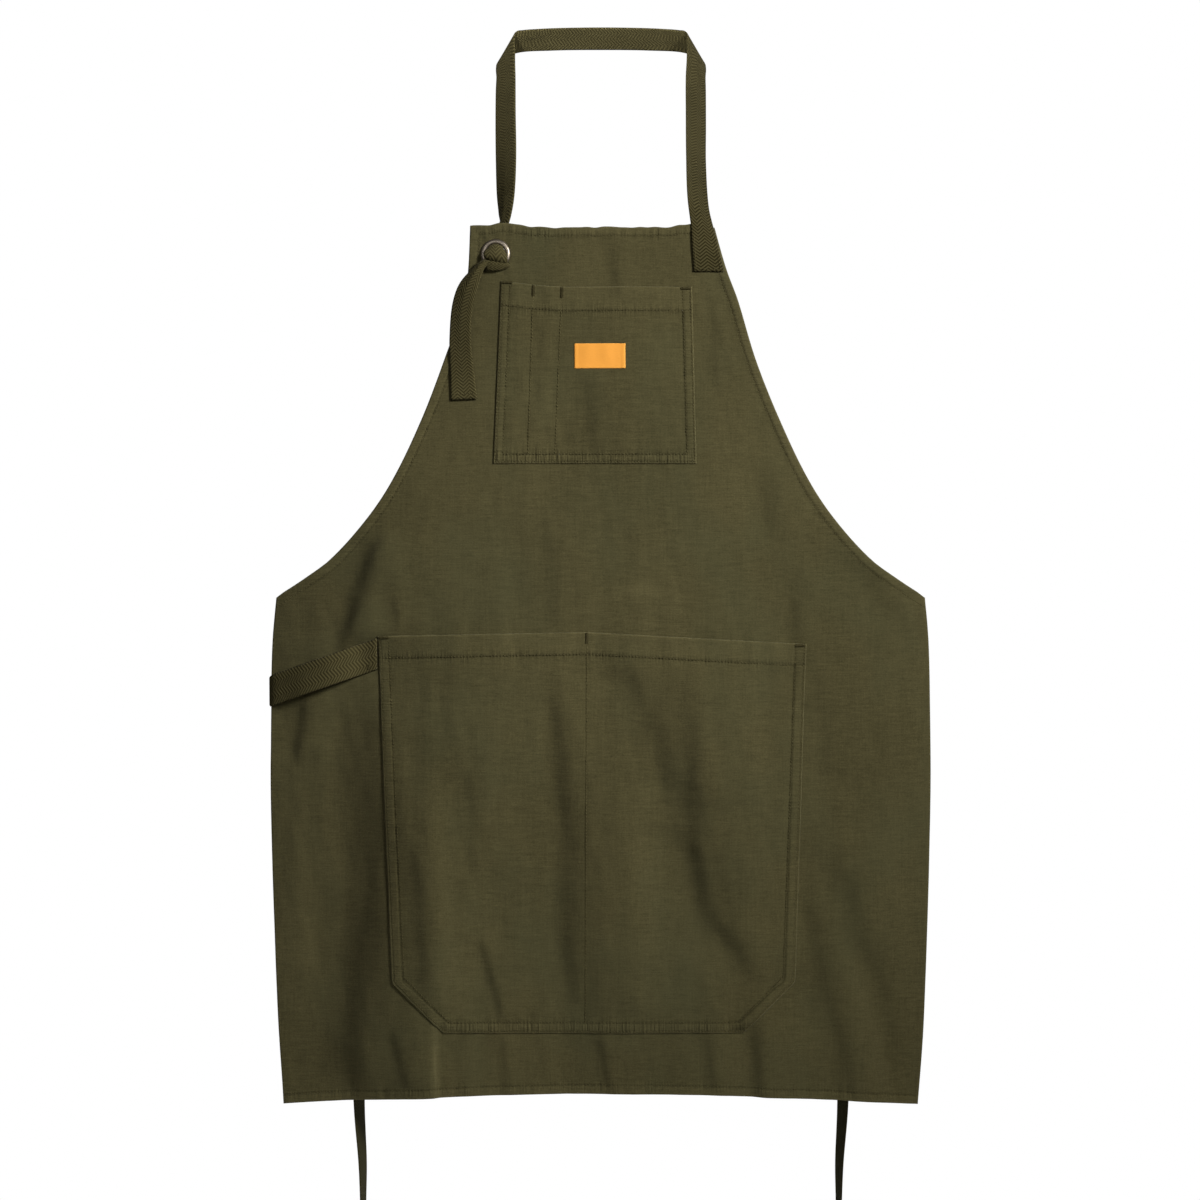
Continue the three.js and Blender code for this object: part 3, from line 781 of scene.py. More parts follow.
def pocket_lift(pocket, x, z):
    """Stand-off of the pocket's back from the body's front, at places inside the pocket."""
    top = mouth_z(pocket, x)
    v = np.clip((top - z) / (top - pocket.bottom), 0, 1)
    down = np.sin(math.pi * lerp(MOUTH_PHASE, 1, v))
    lift = SEAM_GAP
    for k, bulge in enumerate(pocket.bulge):
        left, right = seam_x(pocket, k, v), seam_x(pocket, k + 1, v)
        inside = np.clip((x - left - pocket.flat) / (right - left - 2 * pocket.flat), 0, 1)
        lift += bulge * np.sin(math.pi * inside) ** BULGE_POWER * down
    return lift


def off_pocket(pocket, height):
    """A surface y(x, z) that stands this high above the pocket's back."""

    def surface(x, z):
        return front_y(x, z) - pocket_lift(pocket, x, z) - height

    return surface


def pocket_grid(pocket):
    """Places of the pocket's grid, with distances from its sides, its bottom and its mouth."""
    depth = mouth_z(pocket, 0) - pocket.bottom
    middle = np.linspace(MOUTH_STEPS[-1], depth - POCKET_STEPS[-1], pocket.rows + 1)[1:-1]
    down = np.concatenate([MOUTH_STEPS, middle, depth - POCKET_STEPS[::-1]])
    v = (down / depth)[:, None]
    last = len(pocket.bulge)
    columns, aside = [], []
    for k, steps in enumerate(pocket.steps):
        fine_left = POCKET_STEPS if k == 0 else SEAM_STEPS
        fine_right = POCKET_STEPS if k == last - 1 else SEAM_STEPS
        stretch_left = seam_stretch(pocket, k, v) if k == 0 else 1
        stretch_right = seam_stretch(pocket, k + 1, v) if k == last - 1 else 1
        left = seam_x(pocket, k, v) + fine_left * stretch_left
        right = seam_x(pocket, k + 1, v) - fine_right[::-1] * stretch_right
        between = lerp(left[:, -1:], right[:, :1], np.linspace(0, 1, steps + 1)[1:-1])
        start = 0 if k == 0 else 1
        columns += [left[:, start:], between, right]
        far = np.full(steps - 1, POCKET_STEPS[-1])
        near_left = fine_left if k == 0 else np.full(len(SEAM_STEPS) - 1, far[0])
        near_right = fine_right[::-1] if k == last - 1 else np.full(len(SEAM_STEPS), far[0])
        aside += [near_left, far, near_right]
    x = np.concatenate(columns, axis=1)
    z = lerp(mouth_z(pocket, x), pocket.bottom, v)
    sides = np.broadcast_to(np.concatenate(aside), x.shape)
    bottom = np.broadcast_to((depth - down)[:, None], x.shape)
    return x, z, sides, bottom, np.broadcast_to(down[:, None], x.shape)


def below_hem(pocket, mouth, blend_over=2):
    """From 0 inside the hem of the mouth to 1 below it."""
    return smoothstep(mouth, pocket.hem - blend_over, pocket.hem + blend_over)


def doubled(pocket, rim, mouth, start, end):
    """From 1 where a turned-in edge or the hem doubles the cloth to 0 inside it."""
    far, hem = pocket.stitch[1], pocket.hem
    return 1 - np.minimum(smoothstep(rim - far, start, end), smoothstep(mouth - hem, start, end))


def pocket_relief(pocket, x, z, side, bottom, mouth):
    """Turned-in edges and hem as raised bands, with the grooves of their stitch lines and gathers."""
    near, far = pocket.stitch
    hem = pocket.hem
    rim = np.minimum(side, bottom)
    relief = POCKET_EDGE.band * doubled(pocket, rim, mouth, *POCKET_EDGE.band_ramp)
    far_groove = lerp(*POCKET_EDGE.far_groove, below_hem(pocket, mouth))
    relief += ridge(rim - near, *POCKET_EDGE.near_groove)
    relief += ridge(rim - far, far_groove, POCKET_EDGE.far_width)
    relief += ridge(mouth - hem, *POCKET_EDGE.hem_groove)
    level = bell(bottom - far, POCKET_EDGE.gathers_width) + ridge(mouth - hem, *POCKET_EDGE.hem_gathers)
    upright = bell(side - far, POCKET_EDGE.gathers_width)
    relief += POCKET_EDGE.gathers * (gather_level(x, z) * level + gather_upright(x, z) * upright)
    top = mouth_z(pocket, x)
    for k in range(1, len(pocket.bulge)):
        seam = seam_x(pocket, k, (top - z) / (top - pocket.bottom))
        relief += ridge(x - seam, -pocket.groove, BAY_GROOVE_WIDTH)
    return relief


def pocket_tone(pocket, edge_rim, mouth):
    """Rims with wear and a painted highlight, painted shade along the stitch lines, and a painted highlight
    on the doubled cloth.
    """
    near, far = pocket.stitch
    hem = pocket.hem
    far_dark = lerp(*POCKET_EDGE.far_dark, below_hem(pocket, mouth))
    tone = ridge(np.minimum(edge_rim, mouth), *POCKET_EDGE.worn_rim)
    tone += ridge(edge_rim - near, *POCKET_EDGE.near_dark)
    tone += ridge(edge_rim - far, far_dark, POCKET_EDGE.far_width)
    tone += ridge(mouth - hem, *POCKET_EDGE.hem_dark)
    return tone + POCKET_EDGE.band_tone * doubled(pocket, edge_rim, mouth, *POCKET_EDGE.tone_ramp)


def pocket_panel(name, pocket, material):
    x, z, side, bottom, mouth = pocket_grid(pocket)
    edge_rim = np.minimum(side, bottom)
    rim = np.minimum(edge_rim, mouth)
    relief = pocket_relief(pocket, x, z, side, bottom, mouth)
    wrinkles = wrinkle_field(POCKET_WRINKLES.across, POCKET_WRINKLES.down, pocket.seed)
    inside = smoothstep(rim, POCKET_WRINKLES.start, POCKET_WRINKLES.full)
    soft = POCKET_WRINKLES.rise * wrinkles(x, z) * inside
    base = front_y(x, z) - pocket_lift(pocket, x, z) - soft
    thick = (CANVAS + relief) * rounded(rim, EDGE_RADIUS.pocket)
    middle = base - CANVAS / 2
    front = np.where(rim <= 0, middle, base - np.maximum(thick, CANVAS / 2))
    back = np.where(rim <= 0, middle, base)
    tone = pocket_tone(pocket, edge_rim, mouth) + painted_light_marks(POCKET_PAINTED_SHADE, x, z)
    between = sum(pocket.stitch) / 2
    at_bottom = ridge(bottom - between, *POCKET_EDGE.bottom_puckers)
    level = np.maximum(at_bottom, ridge(mouth - pocket.hem, *POCKET_EDGE.hem_puckers))
    upright = ridge(side - between, *POCKET_EDGE.side_puckers)
    part = cloth_shell(x, z, front, back, tone=tone, level=level, upright=upright)
    return add_piece(name, part, material, name)


def pocket_outline(pocket, inset):
    """Corners of the line that runs down one side, along the bottom and up the other, inset square to it."""
    seams, clip, bottom = pocket.seams, pocket.clip, pocket.bottom + inset
    diagonal = inset * (math.sqrt(2) - 1)
    corners = []
    for k, way in ((0, 1), (len(seams.top_x) - 1, -1)):
        top = (seams.top_x[k] + way * inset, seams.top_z[k] - LINE_START.side)
        foot_x = seams.bottom_x[k] + way * inset
        side = [top, (foot_x, bottom + clip - diagonal)] if clip else [top]
        side.append((foot_x + way * (clip - diagonal if clip else 0), bottom))
        corners.append(side)
    return corners[0] + corners[1][::-1]


def pocket_lines(pocket):
    """Lines of (x, z) along which a pocket is sewn: edges, hem, and the seams between its bays."""
    lines = [pocket_outline(pocket, inset) for inset in pocket.stitch]
    seams = pocket.seams
    hem = np.stack([seams.top_x, seams.top_z - pocket.hem], -1)
    hem[[0, -1], 0] += (LINE_START.hem, -LINE_START.hem)
    lines.append(hem)
    for k in range(1, len(pocket.bulge)):
        foot = lerp(seams.top_x[k], seams.bottom_x[k], BAY_SEAM_END)
        top = (seams.top_x[k], seams.top_z[k] - LINE_START.bay)
        lines.append([top, (foot, pocket.bottom + pocket.stitch[1])])
    return lines


def pocket_stitching(name, pocket, material):
    sunk = off_pocket(pocket, POCKET_THREAD_LEVEL)
    raised = off_pocket(pocket, BAR_LEVEL)
    lines = pocket_lines(pocket)
    rows = [stitch_row(sunk, line) for line in lines[:3]]
    rows += [stitch_row(sunk, line, tone=BAY_SEAM_PAINTED_LIGHT) for line in lines[3:]]
    seams = pocket.seams
    for k in range(1, len(pocket.bulge)):
        x, z = seams.top_x[k], seams.top_z[k]
        rows.append(bartack(raised, (x, z - BAY_BAR.top), (x + BAY_BAR.lean, z - BAY_BAR.bottom)))
    for k, way in ((0, 1), (len(seams.top_x) - 1, -1)):
        x, z = seams.top_x[k] + way * CORNER_BAR.inset, seams.top_z[k] - CORNER_BAR.down
        rows.append(bartack(raised, (x, z), (x + way * CORNER_BAR.length, z)))
    return add_piece(name, joined(rows), material)


# Label and eyelet


def label_places(start, end, count):
    """Even places from start to end, with closer ones beside both ends."""
    near = math.copysign(1, end - start) * LABEL_STEPS
    return np.concatenate([start + near, np.linspace(start, end, count)[1:-1], end - near[::-1]])


def label(material):
    """A folded patch; its two sides are turned in, so they stand a little higher."""
    across = label_places(LABEL.left, LABEL.right, LABEL_COLUMNS)
    down = label_places(LABEL.top, LABEL.bottom, LABEL_ROWS)
    x, z = np.meshgrid(across, down)
    side = np.minimum(x - LABEL.left, LABEL.right - x)
    rim = np.minimum(side, np.minimum(LABEL.top - z, z - LABEL.bottom))
    base = off_pocket(CHEST_POCKET, CANVAS + LABEL.gap)(x, z)
    turned = 1 - smoothstep(side, LABEL_FOLD.start, LABEL_FOLD.end)
    thick = (LABEL.thick + LABEL_FOLD.height * turned) * rounded(rim, EDGE_RADIUS.label)
    middle = base - LABEL_RIM.middle * LABEL.thick
    front = np.where(rim <= 0, middle, base - np.maximum(thick, LABEL_RIM.least * LABEL.thick))
    back = np.where(rim <= 0, middle, base)
    uv = np.stack([x - LABEL.left, z - LABEL.bottom], -1)
    # Rim painted lighter with wear and a painted highlight, and a painted shade along the fold lines.
    tone = ridge(rim, *LABEL_RIM_WEAR_AND_HIGHLIGHT) + ridge(side - LABEL_FOLD.line, *LABEL_FOLD_SHADE)
    part = cloth_shell(x, z, front, back, uv, tone=tone)
    return add_piece("label", part, material, "label")


EYELET_SECTION = table(
    "radius height",
    (15.0, -0.2),
    (15.1, 0.4),
    (14.9, 1.1),
    (14.3, 1.8),
    (13.4, 2.4),
    (12.4, 2.6),
    (11.3, 2.4),
    (10.5, 1.9),
    (10.1, 1.2),
    (10.0, 0.2),
    (10.0, -2.6),
    (10.6, -3.1),
    (12.2, -3.3),
    (13.6, -3.1),
    (14.0, -2.3),
    (13.0, -1.9),
    (11.2, -1.9),
    (11.0, -0.6),
    (13.0, -0.2),
)
EYELET_SIDES = 72


def eyelet(material):
    """A rolled ring through the cloth; its section is turned about the way the cloth faces."""
    x, z = np.array(EYELET.x), np.array(EYELET.z)
    out = facing(front_y, x, z, EYELET.hole)
    aside = np.cross(out, [0, 0, 1])
    aside /= np.linalg.norm(aside)
    up = np.cross(aside, out)
    centre = np.array([x, front_y(x, z), z])
    angle = np.linspace(0, 2 * math.pi, EYELET_SIDES + 1)[:-1, None, None]
    around = np.cos(angle) * aside + np.sin(angle) * up
    points = centre + around * EYELET_SECTION.radius[:, None] + out * EYELET_SECTION.height[:, None]
    index = np.arange(points.shape[0] * points.shape[1]).reshape(points.shape[:2])
    index = np.concatenate([index, index[:1]])
    index = np.concatenate([index, index[:, :1]], axis=1)
    part = {
        "points": points.reshape(-1, 3),
        "faces": grid_faces(index)[:, ::-1],
        **plain_values(points.size // 3),
    }
    return add_piece("eyelet", part, material, "eyelet")


# Webbing


def spline(points, steps):
    """A smooth line through points, with even steps between each two of them."""
    points = np.asarray(points, float)
    ends = np.concatenate([[2 * points[0] - points[1]], points, [2 * points[-1] - points[-2]]])
    gaps = np.linalg.norm(np.diff(ends, axis=0), axis=1)[:, None] ** 0.5
    t = (np.arange(steps) / steps)[:, None]
    made = []
    for k in range(len(points) - 1):
        a, b, c, d = ends[k:k + 4]
        before, between, after = gaps[k:k + 3]
        start = ((b - a) / before - (c - a) / (before + between) + (c - b) / between) * between
        end = ((c - b) / between - (d - b) / (between + after) + (d - c) / after) * between
        square = 3 * (c - b) - 2 * start - end
        cube = 2 * (b - c) + start + end
        made.append(b + start * t + square * t ** 2 + cube * t ** 3)
    return np.concatenate(made + [points[-1:]])


def station(inner, outer, thick=WEBBING_THICK, bow=0.0, fold=0.0, worn=0.0):
    """One section of a tape: its two edges, how far it is bowed and folded lengthwise, and how much lighter
    or darker it is painted, in places as painted light and painted shade.
    """
    return {"inner": inner, "outer": outer, "thick": thick, "bow": bow, "fold": fold, "worn": worn}


def tape(stations, steps=10, columns=16, width=WEBBING):
    """A flat tape through stations, with rounded edges; its uv holds the distances across and along."""
    inner = spline([s["inner"] for s in stations], steps)
    outer = spline([s["outer"] for s in stations], steps)
    rows = len(inner)
    place = np.arange(rows) / steps
    known = np.arange(len(stations))
    keys = ("thick", "bow", "fold", "worn")
    size = {key: np.interp(place, known, [s[key] for s in stations])[:, None] for key in keys}
    even = np.linspace(0, 1, columns + 1)
    u = lerp(0.5 - 0.5 * np.cos(math.pi * even), even, TAPE_EVENNESS)
    middle = lerp(inner[:, None], outer[:, None], u[:, None])
    ahead = np.gradient((inner + outer) / 2, axis=0)
    normal = np.cross(ahead, outer - inner)
    normal /= np.linalg.norm(normal, axis=1, keepdims=True)
    shape = -4 * u * (1 - u) * size["bow"] - (1 - np.abs(2 * u - 1)) * size["fold"]
    middle = middle + normal[:, None] * shape[..., None]
    run = walked((inner + outer) / 2)
    span = width * u
    end = np.minimum(run, run[-1] - run)[:, None]
    side = np.minimum(span, width - span)
    round_off = rounded(np.minimum(side, end), EDGE_RADIUS.tape)
    half = normal[:, None] * (size["thick"] / 2 * round_off)[..., None]
    uv = np.stack(np.broadcast_arrays(span, run[:, None]), -1)
    # Rims painted lighter with wear and a painted highlight, plus the tone of each length.
    tone = ridge(side, *TAPE_RIM_WEAR_AND_HIGHLIGHT) + size["worn"]
    return shell(middle + half, middle - half, uv, tone=tone)


# Neck strap: its sewn end on the bib, as inner and outer edge by height, bowed over the curled corner.
# A tone value above 0 paints a length lighter and below 0 darker: on the top band and the dome at the eyelet
# it is painted light and painted shade.
# The sewn end is painted darker.
SEWN_DARKER = -0.7
SEWN_END = table(
    "z inner outer bow",
    (-250, 92.5, 123, 0),
    (-235, 91.5, 119.7, 0.7),
    (-220, 90.6, 116.5, 1.1),
    (-206, 90, 113.2, 1.3),
)
SEWN_LIFT = 0.9 + WEBBING_THICK / 2
# Rising lengths at both sides, turned by degrees to lie against a neck; the left one goes behind the bib
RISE_COLUMNS = "x y z turn width fold worn"
# The last column paints the right rising length a little darker.
RISE_RIGHT = table(
    RISE_COLUMNS,
    (97.5, -92, -180, 42, WEBBING, 0, -0.5),
    (96, -67, -132, 46, WEBBING, 0, -0.4),
    (96.5, -45, -90, 45, WEBBING, 0, -0.4),
    (97, -24, -50, 45, WEBBING, 0, -0.3),
)
RISE_LEFT = table(
    RISE_COLUMNS,
    (-97.5, -24, -50, 46, WEBBING, 0, 0),
    (-97, -44, -90, 45, WEBBING, 0, 0),
    (-96, -63, -132, 45, WEBBING, 0.5, 0),
    (-95.5, -79, -167, 49, 29, 1.5, 0),
    (-95.2, -85, -185, 54, 26, 4, 0),
    (-95.8, -87.5, -201, 63, 22, 6, 0),
)
RISE_BACK = np.array([0, 0.89, -0.45])
BAND_CORNER = [
    ((87.8, -20, -19), (107.5, -9, -42)),
    ((86.8, -9, 6), (107.8, 1, -28)),
    ((80, -9.5, 7.4), (102.4, 8, -20)),
    ((66, -10, 8.4), (86, 10, -13)),
    ((44, -10, 9.4), (50, 10, -10.6)),
]
BAND_MIDDLE = ((0, -10, 10), (0, 10, -10))
# The top band is painted lighter towards its middle, a painted light where it faces down and away from the
# lamps.
BAND_PAINTED_LIGHT = (0, 0.1, 0.3, 0.5, 0.5)
# From behind the bib through the eyelet, gathered narrow, then the free tail
# The last column paints the dome lighter on its top, a painted highlight, and darker under its lip, a painted
# shade in the crease above the wrap.
THROUGH_EYELET = [
    ((-97, -88, -213), (-112, -86.5, -215), 1, 0),
    ((-97.6, -90, -220.5), (-113, -90, -221), 2, 0),
    ((-98.4, -95, -223.6), (-112.6, -95, -223.8), 2.5, 0),
    ((-97.4, -100.5, -226.4), (-113.6, -100.5, -226.6), 3, 0.4),
    ((-95, -104, -230.6), (-116.2, -103.8, -229.8), 3, 0.5),
    ((-93.4, -106.4, -235.6), (-117.4, -106, -232.8), 2.6, 0.3),
    ((-93, -107, -239.6), (-116.6, -106.6, -235.2), 2, -0.4),
    ((-93.6, -105.4, -242), (-115, -105, -236.8), 1.6, -2.5),
    ((-94.6, -103, -241.6), (-113.6, -102.6, -236.2), 1, -2.5),
]
TAIL = [
    ((-110, -104, -243), (-109, -103.4, -237), 1),
    ((-115.2, -107.5, -246), (-117.5, -104.6, -238), 2.5),
    ((-119.5, -110, -256.5), (-130, -104.4, -248.5), 3.5),
    ((-124.6, -110.8, -272), (-141.5, -103.6, -262), 2.5),
    ((-128.3, -110.4, -290), (-148.3, -103, -281), 1.5),
    ((-129.5, -108.6, -322), (-151.5, -102.8, -318), 0.5),
    ((-126.5, -106.2, -351), (-150.5, -102.6, -352), 0),
    ((-123.5, -104.4, -378), (-150, -102.9, -379), 0),
]
# The wrap is painted a little lighter.
WRAP_LIGHTER = 0.1
WRAP_BOW = 2.5
WRAP = [
    ((-111.5, -102, -238), (-111.5, -101.4, -248.2)),
    ((-112.6, -104.2, -236.6), (-112.8, -103, -249)),
    ((-109.5, -105, -236), (-109.8, -104, -249.4)),
    ((-103, -105.4, -236.6), (-103.3, -104.2, -249.2)),
    ((-97, -104.8, -238.6), (-97.4, -103.6, -248)),
    ((-93.9, -103.4, -240.6), (-94.4, -102.6, -246.6)),
    ((-94.5, -101.8, -241.4), (-94.7, -101.6, -245.8)),
]
GATHERED_THICK = 2.2


def rise_stations(rows):
    made = []
    for x, y, z, turn, width, fold, worn in rows_of(rows):
        angle = math.radians(turn)
        across = np.array([math.copysign(math.cos(angle), x), 0, 0]) + RISE_BACK * math.sin(angle)
        middle = np.array([x, y, z])
        made.append(station(middle - across * width / 2, middle + across * width / 2, fold=fold, worn=worn))
    return made


def mirrored(point):
    return (-point[0], point[1], point[2])


def neck_strap(material):
    sewn = []
    for z, inner, outer, bow in rows_of(SEWN_END):
        edges = (cloth_points(inner, z, SEWN_LIFT), cloth_points(outer, z, SEWN_LIFT))
        sewn.append(station(*edges, bow=bow, worn=SEWN_DARKER))
    corner = list(zip(BAND_CORNER, BAND_PAINTED_LIGHT))
    right = [station(inner, outer, worn=worn) for (inner, outer), worn in corner]
    left = [station(mirrored(inner), mirrored(outer), worn=worn) for (inner, outer), worn in corner[::-1]]
    band = right + [station(*BAND_MIDDLE, worn=BAND_PAINTED_LIGHT[-1])] + left
    through = []
    for inner, outer, bow, worn in THROUGH_EYELET:
        through.append(station(inner, outer, GATHERED_THICK, bow, worn=worn))
    route = sewn + rise_stations(RISE_RIGHT) + band + rise_stations(RISE_LEFT) + through
    tail = [station(inner, outer, fold=fold) for inner, outer, fold in TAIL]
    wrap = [station(inner, outer, GATHERED_THICK, WRAP_BOW, worn=WRAP_LIGHTER) for inner, outer in WRAP]
    part = joined([tape(route), tape(tail), tape(wrap)])
    return add_piece("neck_strap", part, material, "neck_strap")


# Side loop: its middle line before the cloth, then behind it from the skirt's left edge inwards
LOOP_FRONT = table(
    "x z lift",
    (-224, -632, 1.4),
    (-240, -637.5, 2.2),
    (-256, -643, 8),
    (-276, -650, 12),
    (-298, -657.5, 12),
    (-318, -664.5, 8),
    (-331, -669, 4),
)
LOOP_BACK = table(
    "x z behind",
    (-334, -670.5, 1),
    (-331, -670.5, 5.5),
    (-319, -670.5, 4.2),
    (-300, -670.5, 3),
)
LOOP_SLANT = math.radians(18)
LOOP_HEIGHT = WEBBING / math.cos(LOOP_SLANT)


def cloth_station(x, z, width, lift, thick):
    """An upright section of a tape that lies on or near the cloth."""
    return station(cloth_points(x, z + width / 2, lift), cloth_points(x, z - width / 2, lift), thick)


def side_loop(material):
    made = []
    for x, z, lift in rows_of(LOOP_FRONT):
        made.append(cloth_station(x, z, LOOP_HEIGHT, lift, WEBBING_THICK))
    for x, z, behind in rows_of(LOOP_BACK):
        made.append(cloth_station(x, z, WEBBING, -behind, WEBBING_THICK))
    return add_piece("side_loop", tape(made), material, "side_loop")


# Waist ties, for the right side: route of the middle line and direction of the tape's width
TIE_SEWN_Z = -593
TIE_SEWN = table("x behind", (318, 3.6), (303, 3.4), (288, 3.6))
TIE_HANGING = table(
    "x y z across_x across_y across_z",
    (270, -62, -599, -0.2, 0.3, 1),
    (256, -56, -615, -0.55, 0.75, 0.6),
    (247, -52, -645, -0.4, 0.95, 0.2),
    (244, -51, -700, -0.35, 0.94, 0),
    (244, -51, -800, -0.4, 0.92, 0),
    (245, -52, -900, -0.45, 0.9, 0),
    (246, -53, -1000, -0.5, 0.87, 0),
    (245, -54, -1090, -0.38, 0.92, 0),
    (241.5, -54, -1150, -0.26, 0.96, 0),
    (241, -54, -1190, -0.16, 0.98, 0),
    (240.5, -54, -1226, -0.12, 0.99, 0),
)


def waist_tie(name, side, material):
    """A tie sewn on behind and hanging free; side is 1 for the right one and -1 for the left one."""
    made = []
    for x, behind in rows_of(TIE_SEWN):
        made.append(cloth_station(side * x, TIE_SEWN_Z, TIE_WIDTH, -behind, TIE_THICK))
    for x, y, z, *across in rows_of(TIE_HANGING):
        middle = np.array([side * x, y, z])
        across = np.array(across) * (side, 1, 1)
        across *= TIE_WIDTH / 2 / np.linalg.norm(across)
        made.append(station(middle + across, middle - across, TIE_THICK))
    piece = add_piece(name, tape(made, steps=12, columns=12, width=TIE_WIDTH), material, name)
    middles = [(np.asarray(s["inner"]) + np.asarray(s["outer"])) / 2 for s in made]
    path = spline(middles, 4) * MM
    length = float(walked(path)[-1])
    return piece


# Materials


def shader(name, **settings):
    """A material whose Principled shader has these values on its own sockets."""
    made = bpy.data.materials.new(name)
    made.use_nodes = True
    principled = made.node_tree.nodes["Principled BSDF"]
    for socket, value in settings.items():
        principled.inputs[socket.replace("_", " ")].default_value = value
    return made, made.node_tree, principled


def add_node(tree, kind, inputs=(), **settings):
    made = tree.nodes.new(kind)
    for key, value in settings.items():
        setattr(made, key, value)
    for socket, value in dict(inputs).items():
        if isinstance(value, bpy.types.NodeSocket):
            tree.links.new(value, made.inputs[socket])
        else:
            made.inputs[socket].default_value = value
    return made


def calc(tree, operation, *values):
    return add_node(tree, "ShaderNodeMath", enumerate(values), operation=operation).outputs[0]


def noise(tree, place, scale, detail=2.0, roughness=0.5):
    """Noise from 0 to 1 whose grain is 1 / scale metres along each axis."""
    stretched = add_node(tree, "ShaderNodeMapping", {"Vector": place, "Scale": scale}).outputs[0]
    settings = {"Vector": stretched, "Scale": 1.0, "Detail": detail, "Roughness": roughness}
    return add_node(tree, "ShaderNodeTexNoise", settings).outputs[0]


def blend(tree, factor, first, second):
    inputs = {"Factor": factor, 6: first, 7: second}
    return add_node(tree, "ShaderNodeMix", inputs, data_type="RGBA").outputs[2]


def weighted(tree, start, *terms):
    """start plus each term's weight times its value's distance from its middle."""
    total = start
    for value, middle, weight in terms:
        centred = calc(tree, "SUBTRACT", value, middle)
        total = calc(tree, "MULTIPLY_ADD", centred, weight, total)
    return total


def bump_normal(tree, height, distance, strength=1.0, **more):
    """Surface directions of a relief whose height of 1 stands for this many millimetres."""
    inputs = {"Height": height, "Distance": distance * MM, "Strength": strength, **more}
    return add_node(tree, "ShaderNodeBump", inputs).outputs[0]


def object_place(tree):
    return add_node(tree, "ShaderNodeTexCoord").outputs["Object"]


def tape_place(tree):
    """Distances across and along, from the mesh's uv."""
    return add_node(tree, "ShaderNodeUVMap", uv_map="along").outputs[0]


def axes_of(tree, place):
    return add_node(tree, "ShaderNodeSeparateXYZ", {0: place}).outputs


def wave(tree, value, length):
    """A sine along a value in metres, with its wave length in millimetres."""
    return calc(tree, "SINE", calc(tree, "MULTIPLY", value, 2 * math.pi / (length * MM)))


def plug(tree, principled, **sockets):
    """Links values to the shader's own sockets."""
    for socket, value in sockets.items():
        tree.links.new(value, principled.inputs[socket.replace("_", " ")])


def painted(tree, name):
    """A value held by the mesh's points."""
    return add_node(tree, "ShaderNodeAttribute", attribute_name=name).outputs["Fac"]


OLIVE_DARK = (0.030, 0.0265, 0.0098, 1)
OLIVE_LIGHT = (0.140, 0.1195, 0.052, 1)
OLIVE_GREEN = (0.066, 0.068, 0.032, 1)
CANVAS_THREAD = 1.1


def canvas_material():
    """Plain-weave cotton with slubs across it, fine streaks along it and cloudy dye; its tone paints rims
    lighter with wear and a painted highlight, and paints highlights and shade along seams and folds.
    """
    made, tree, principled = shader(
        "olive_canvas", Roughness=0.95, Specular_IOR_Level=0.07, Sheen_Weight=0.06,
    )
    place = object_place(tree)
    slub = noise(tree, place, (70, 70, 820), 3.0, 0.6)
    streak = noise(tree, place, (640, 60, 36), 3.0)
    cloud = noise(tree, place, (14, 14, 5))
    grain = noise(tree, place, (620, 620, 900), 2.0, 0.7)
    across = calc(tree, "SUBTRACT", noise(tree, place, (480, 20, 20), 1.0), 0.5)
    upwards = calc(tree, "SUBTRACT", noise(tree, place, (20, 20, 480), 1.0), 0.5)
    on_level = calc(tree, "MULTIPLY", across, painted(tree, "level"))
    puckers = calc(tree, "MULTIPLY_ADD", upwards, painted(tree, "upright"), on_level)
    terms = [(slub, 0.5, 0.55), (streak, 0.5, 0.26), (cloud, 0.5, 0.32), (grain, 0.5, 0.7)]
    # puckers also darken the colour in their creases and lighten it on their ridges, a painted shade and
    # highlight; tone brings the mesh's painted light and shade.
    terms += [(puckers, 0, 0.55), (painted(tree, "tone"), 0, 0.3)]
    factor = weighted(tree, 0.42, *terms)
    colour = blend(tree, factor, OLIVE_DARK, OLIVE_LIGHT)
    hue = noise(tree, place, (14, 14, 9))
    green = calc(tree, "MULTIPLY", calc(tree, "SUBTRACT", hue, 0.42), 0.9)
    axes = axes_of(tree, place)
    weave = calc(tree, "MULTIPLY", wave(tree, axes["X"], CANVAS_THREAD), wave(tree, axes["Z"], CANVAS_THREAD))
    height = weighted(tree, weave, (slub, 0.5, 2.0), (grain, 0.5, 1.0))
    woven = bump_normal(tree, height, 0.12, 0.5)
    drawn = bump_normal(tree, puckers, 2.2, Normal=woven)
    plug(tree, principled, Base_Color=blend(tree, green, colour, OLIVE_GREEN), Normal=drawn)
    return made


WEB_DARK = (0.014, 0.0115, 0.0035, 1)
WEB_LIGHT = (0.126, 0.1075, 0.046, 1)
# The ties' tape is a darker copy of the webbing: a painted shade for ties that hang in shadow behind the
# apron.
SHADED_TIE_DARK = (0.006, 0.005, 0.0014, 1)
SHADED_TIE_LIGHT = (0.058, 0.050, 0.017, 1)
CHEVRON = Sizes(column=7.5 * MM, pitch=3.4 * MM, slope=0.75)


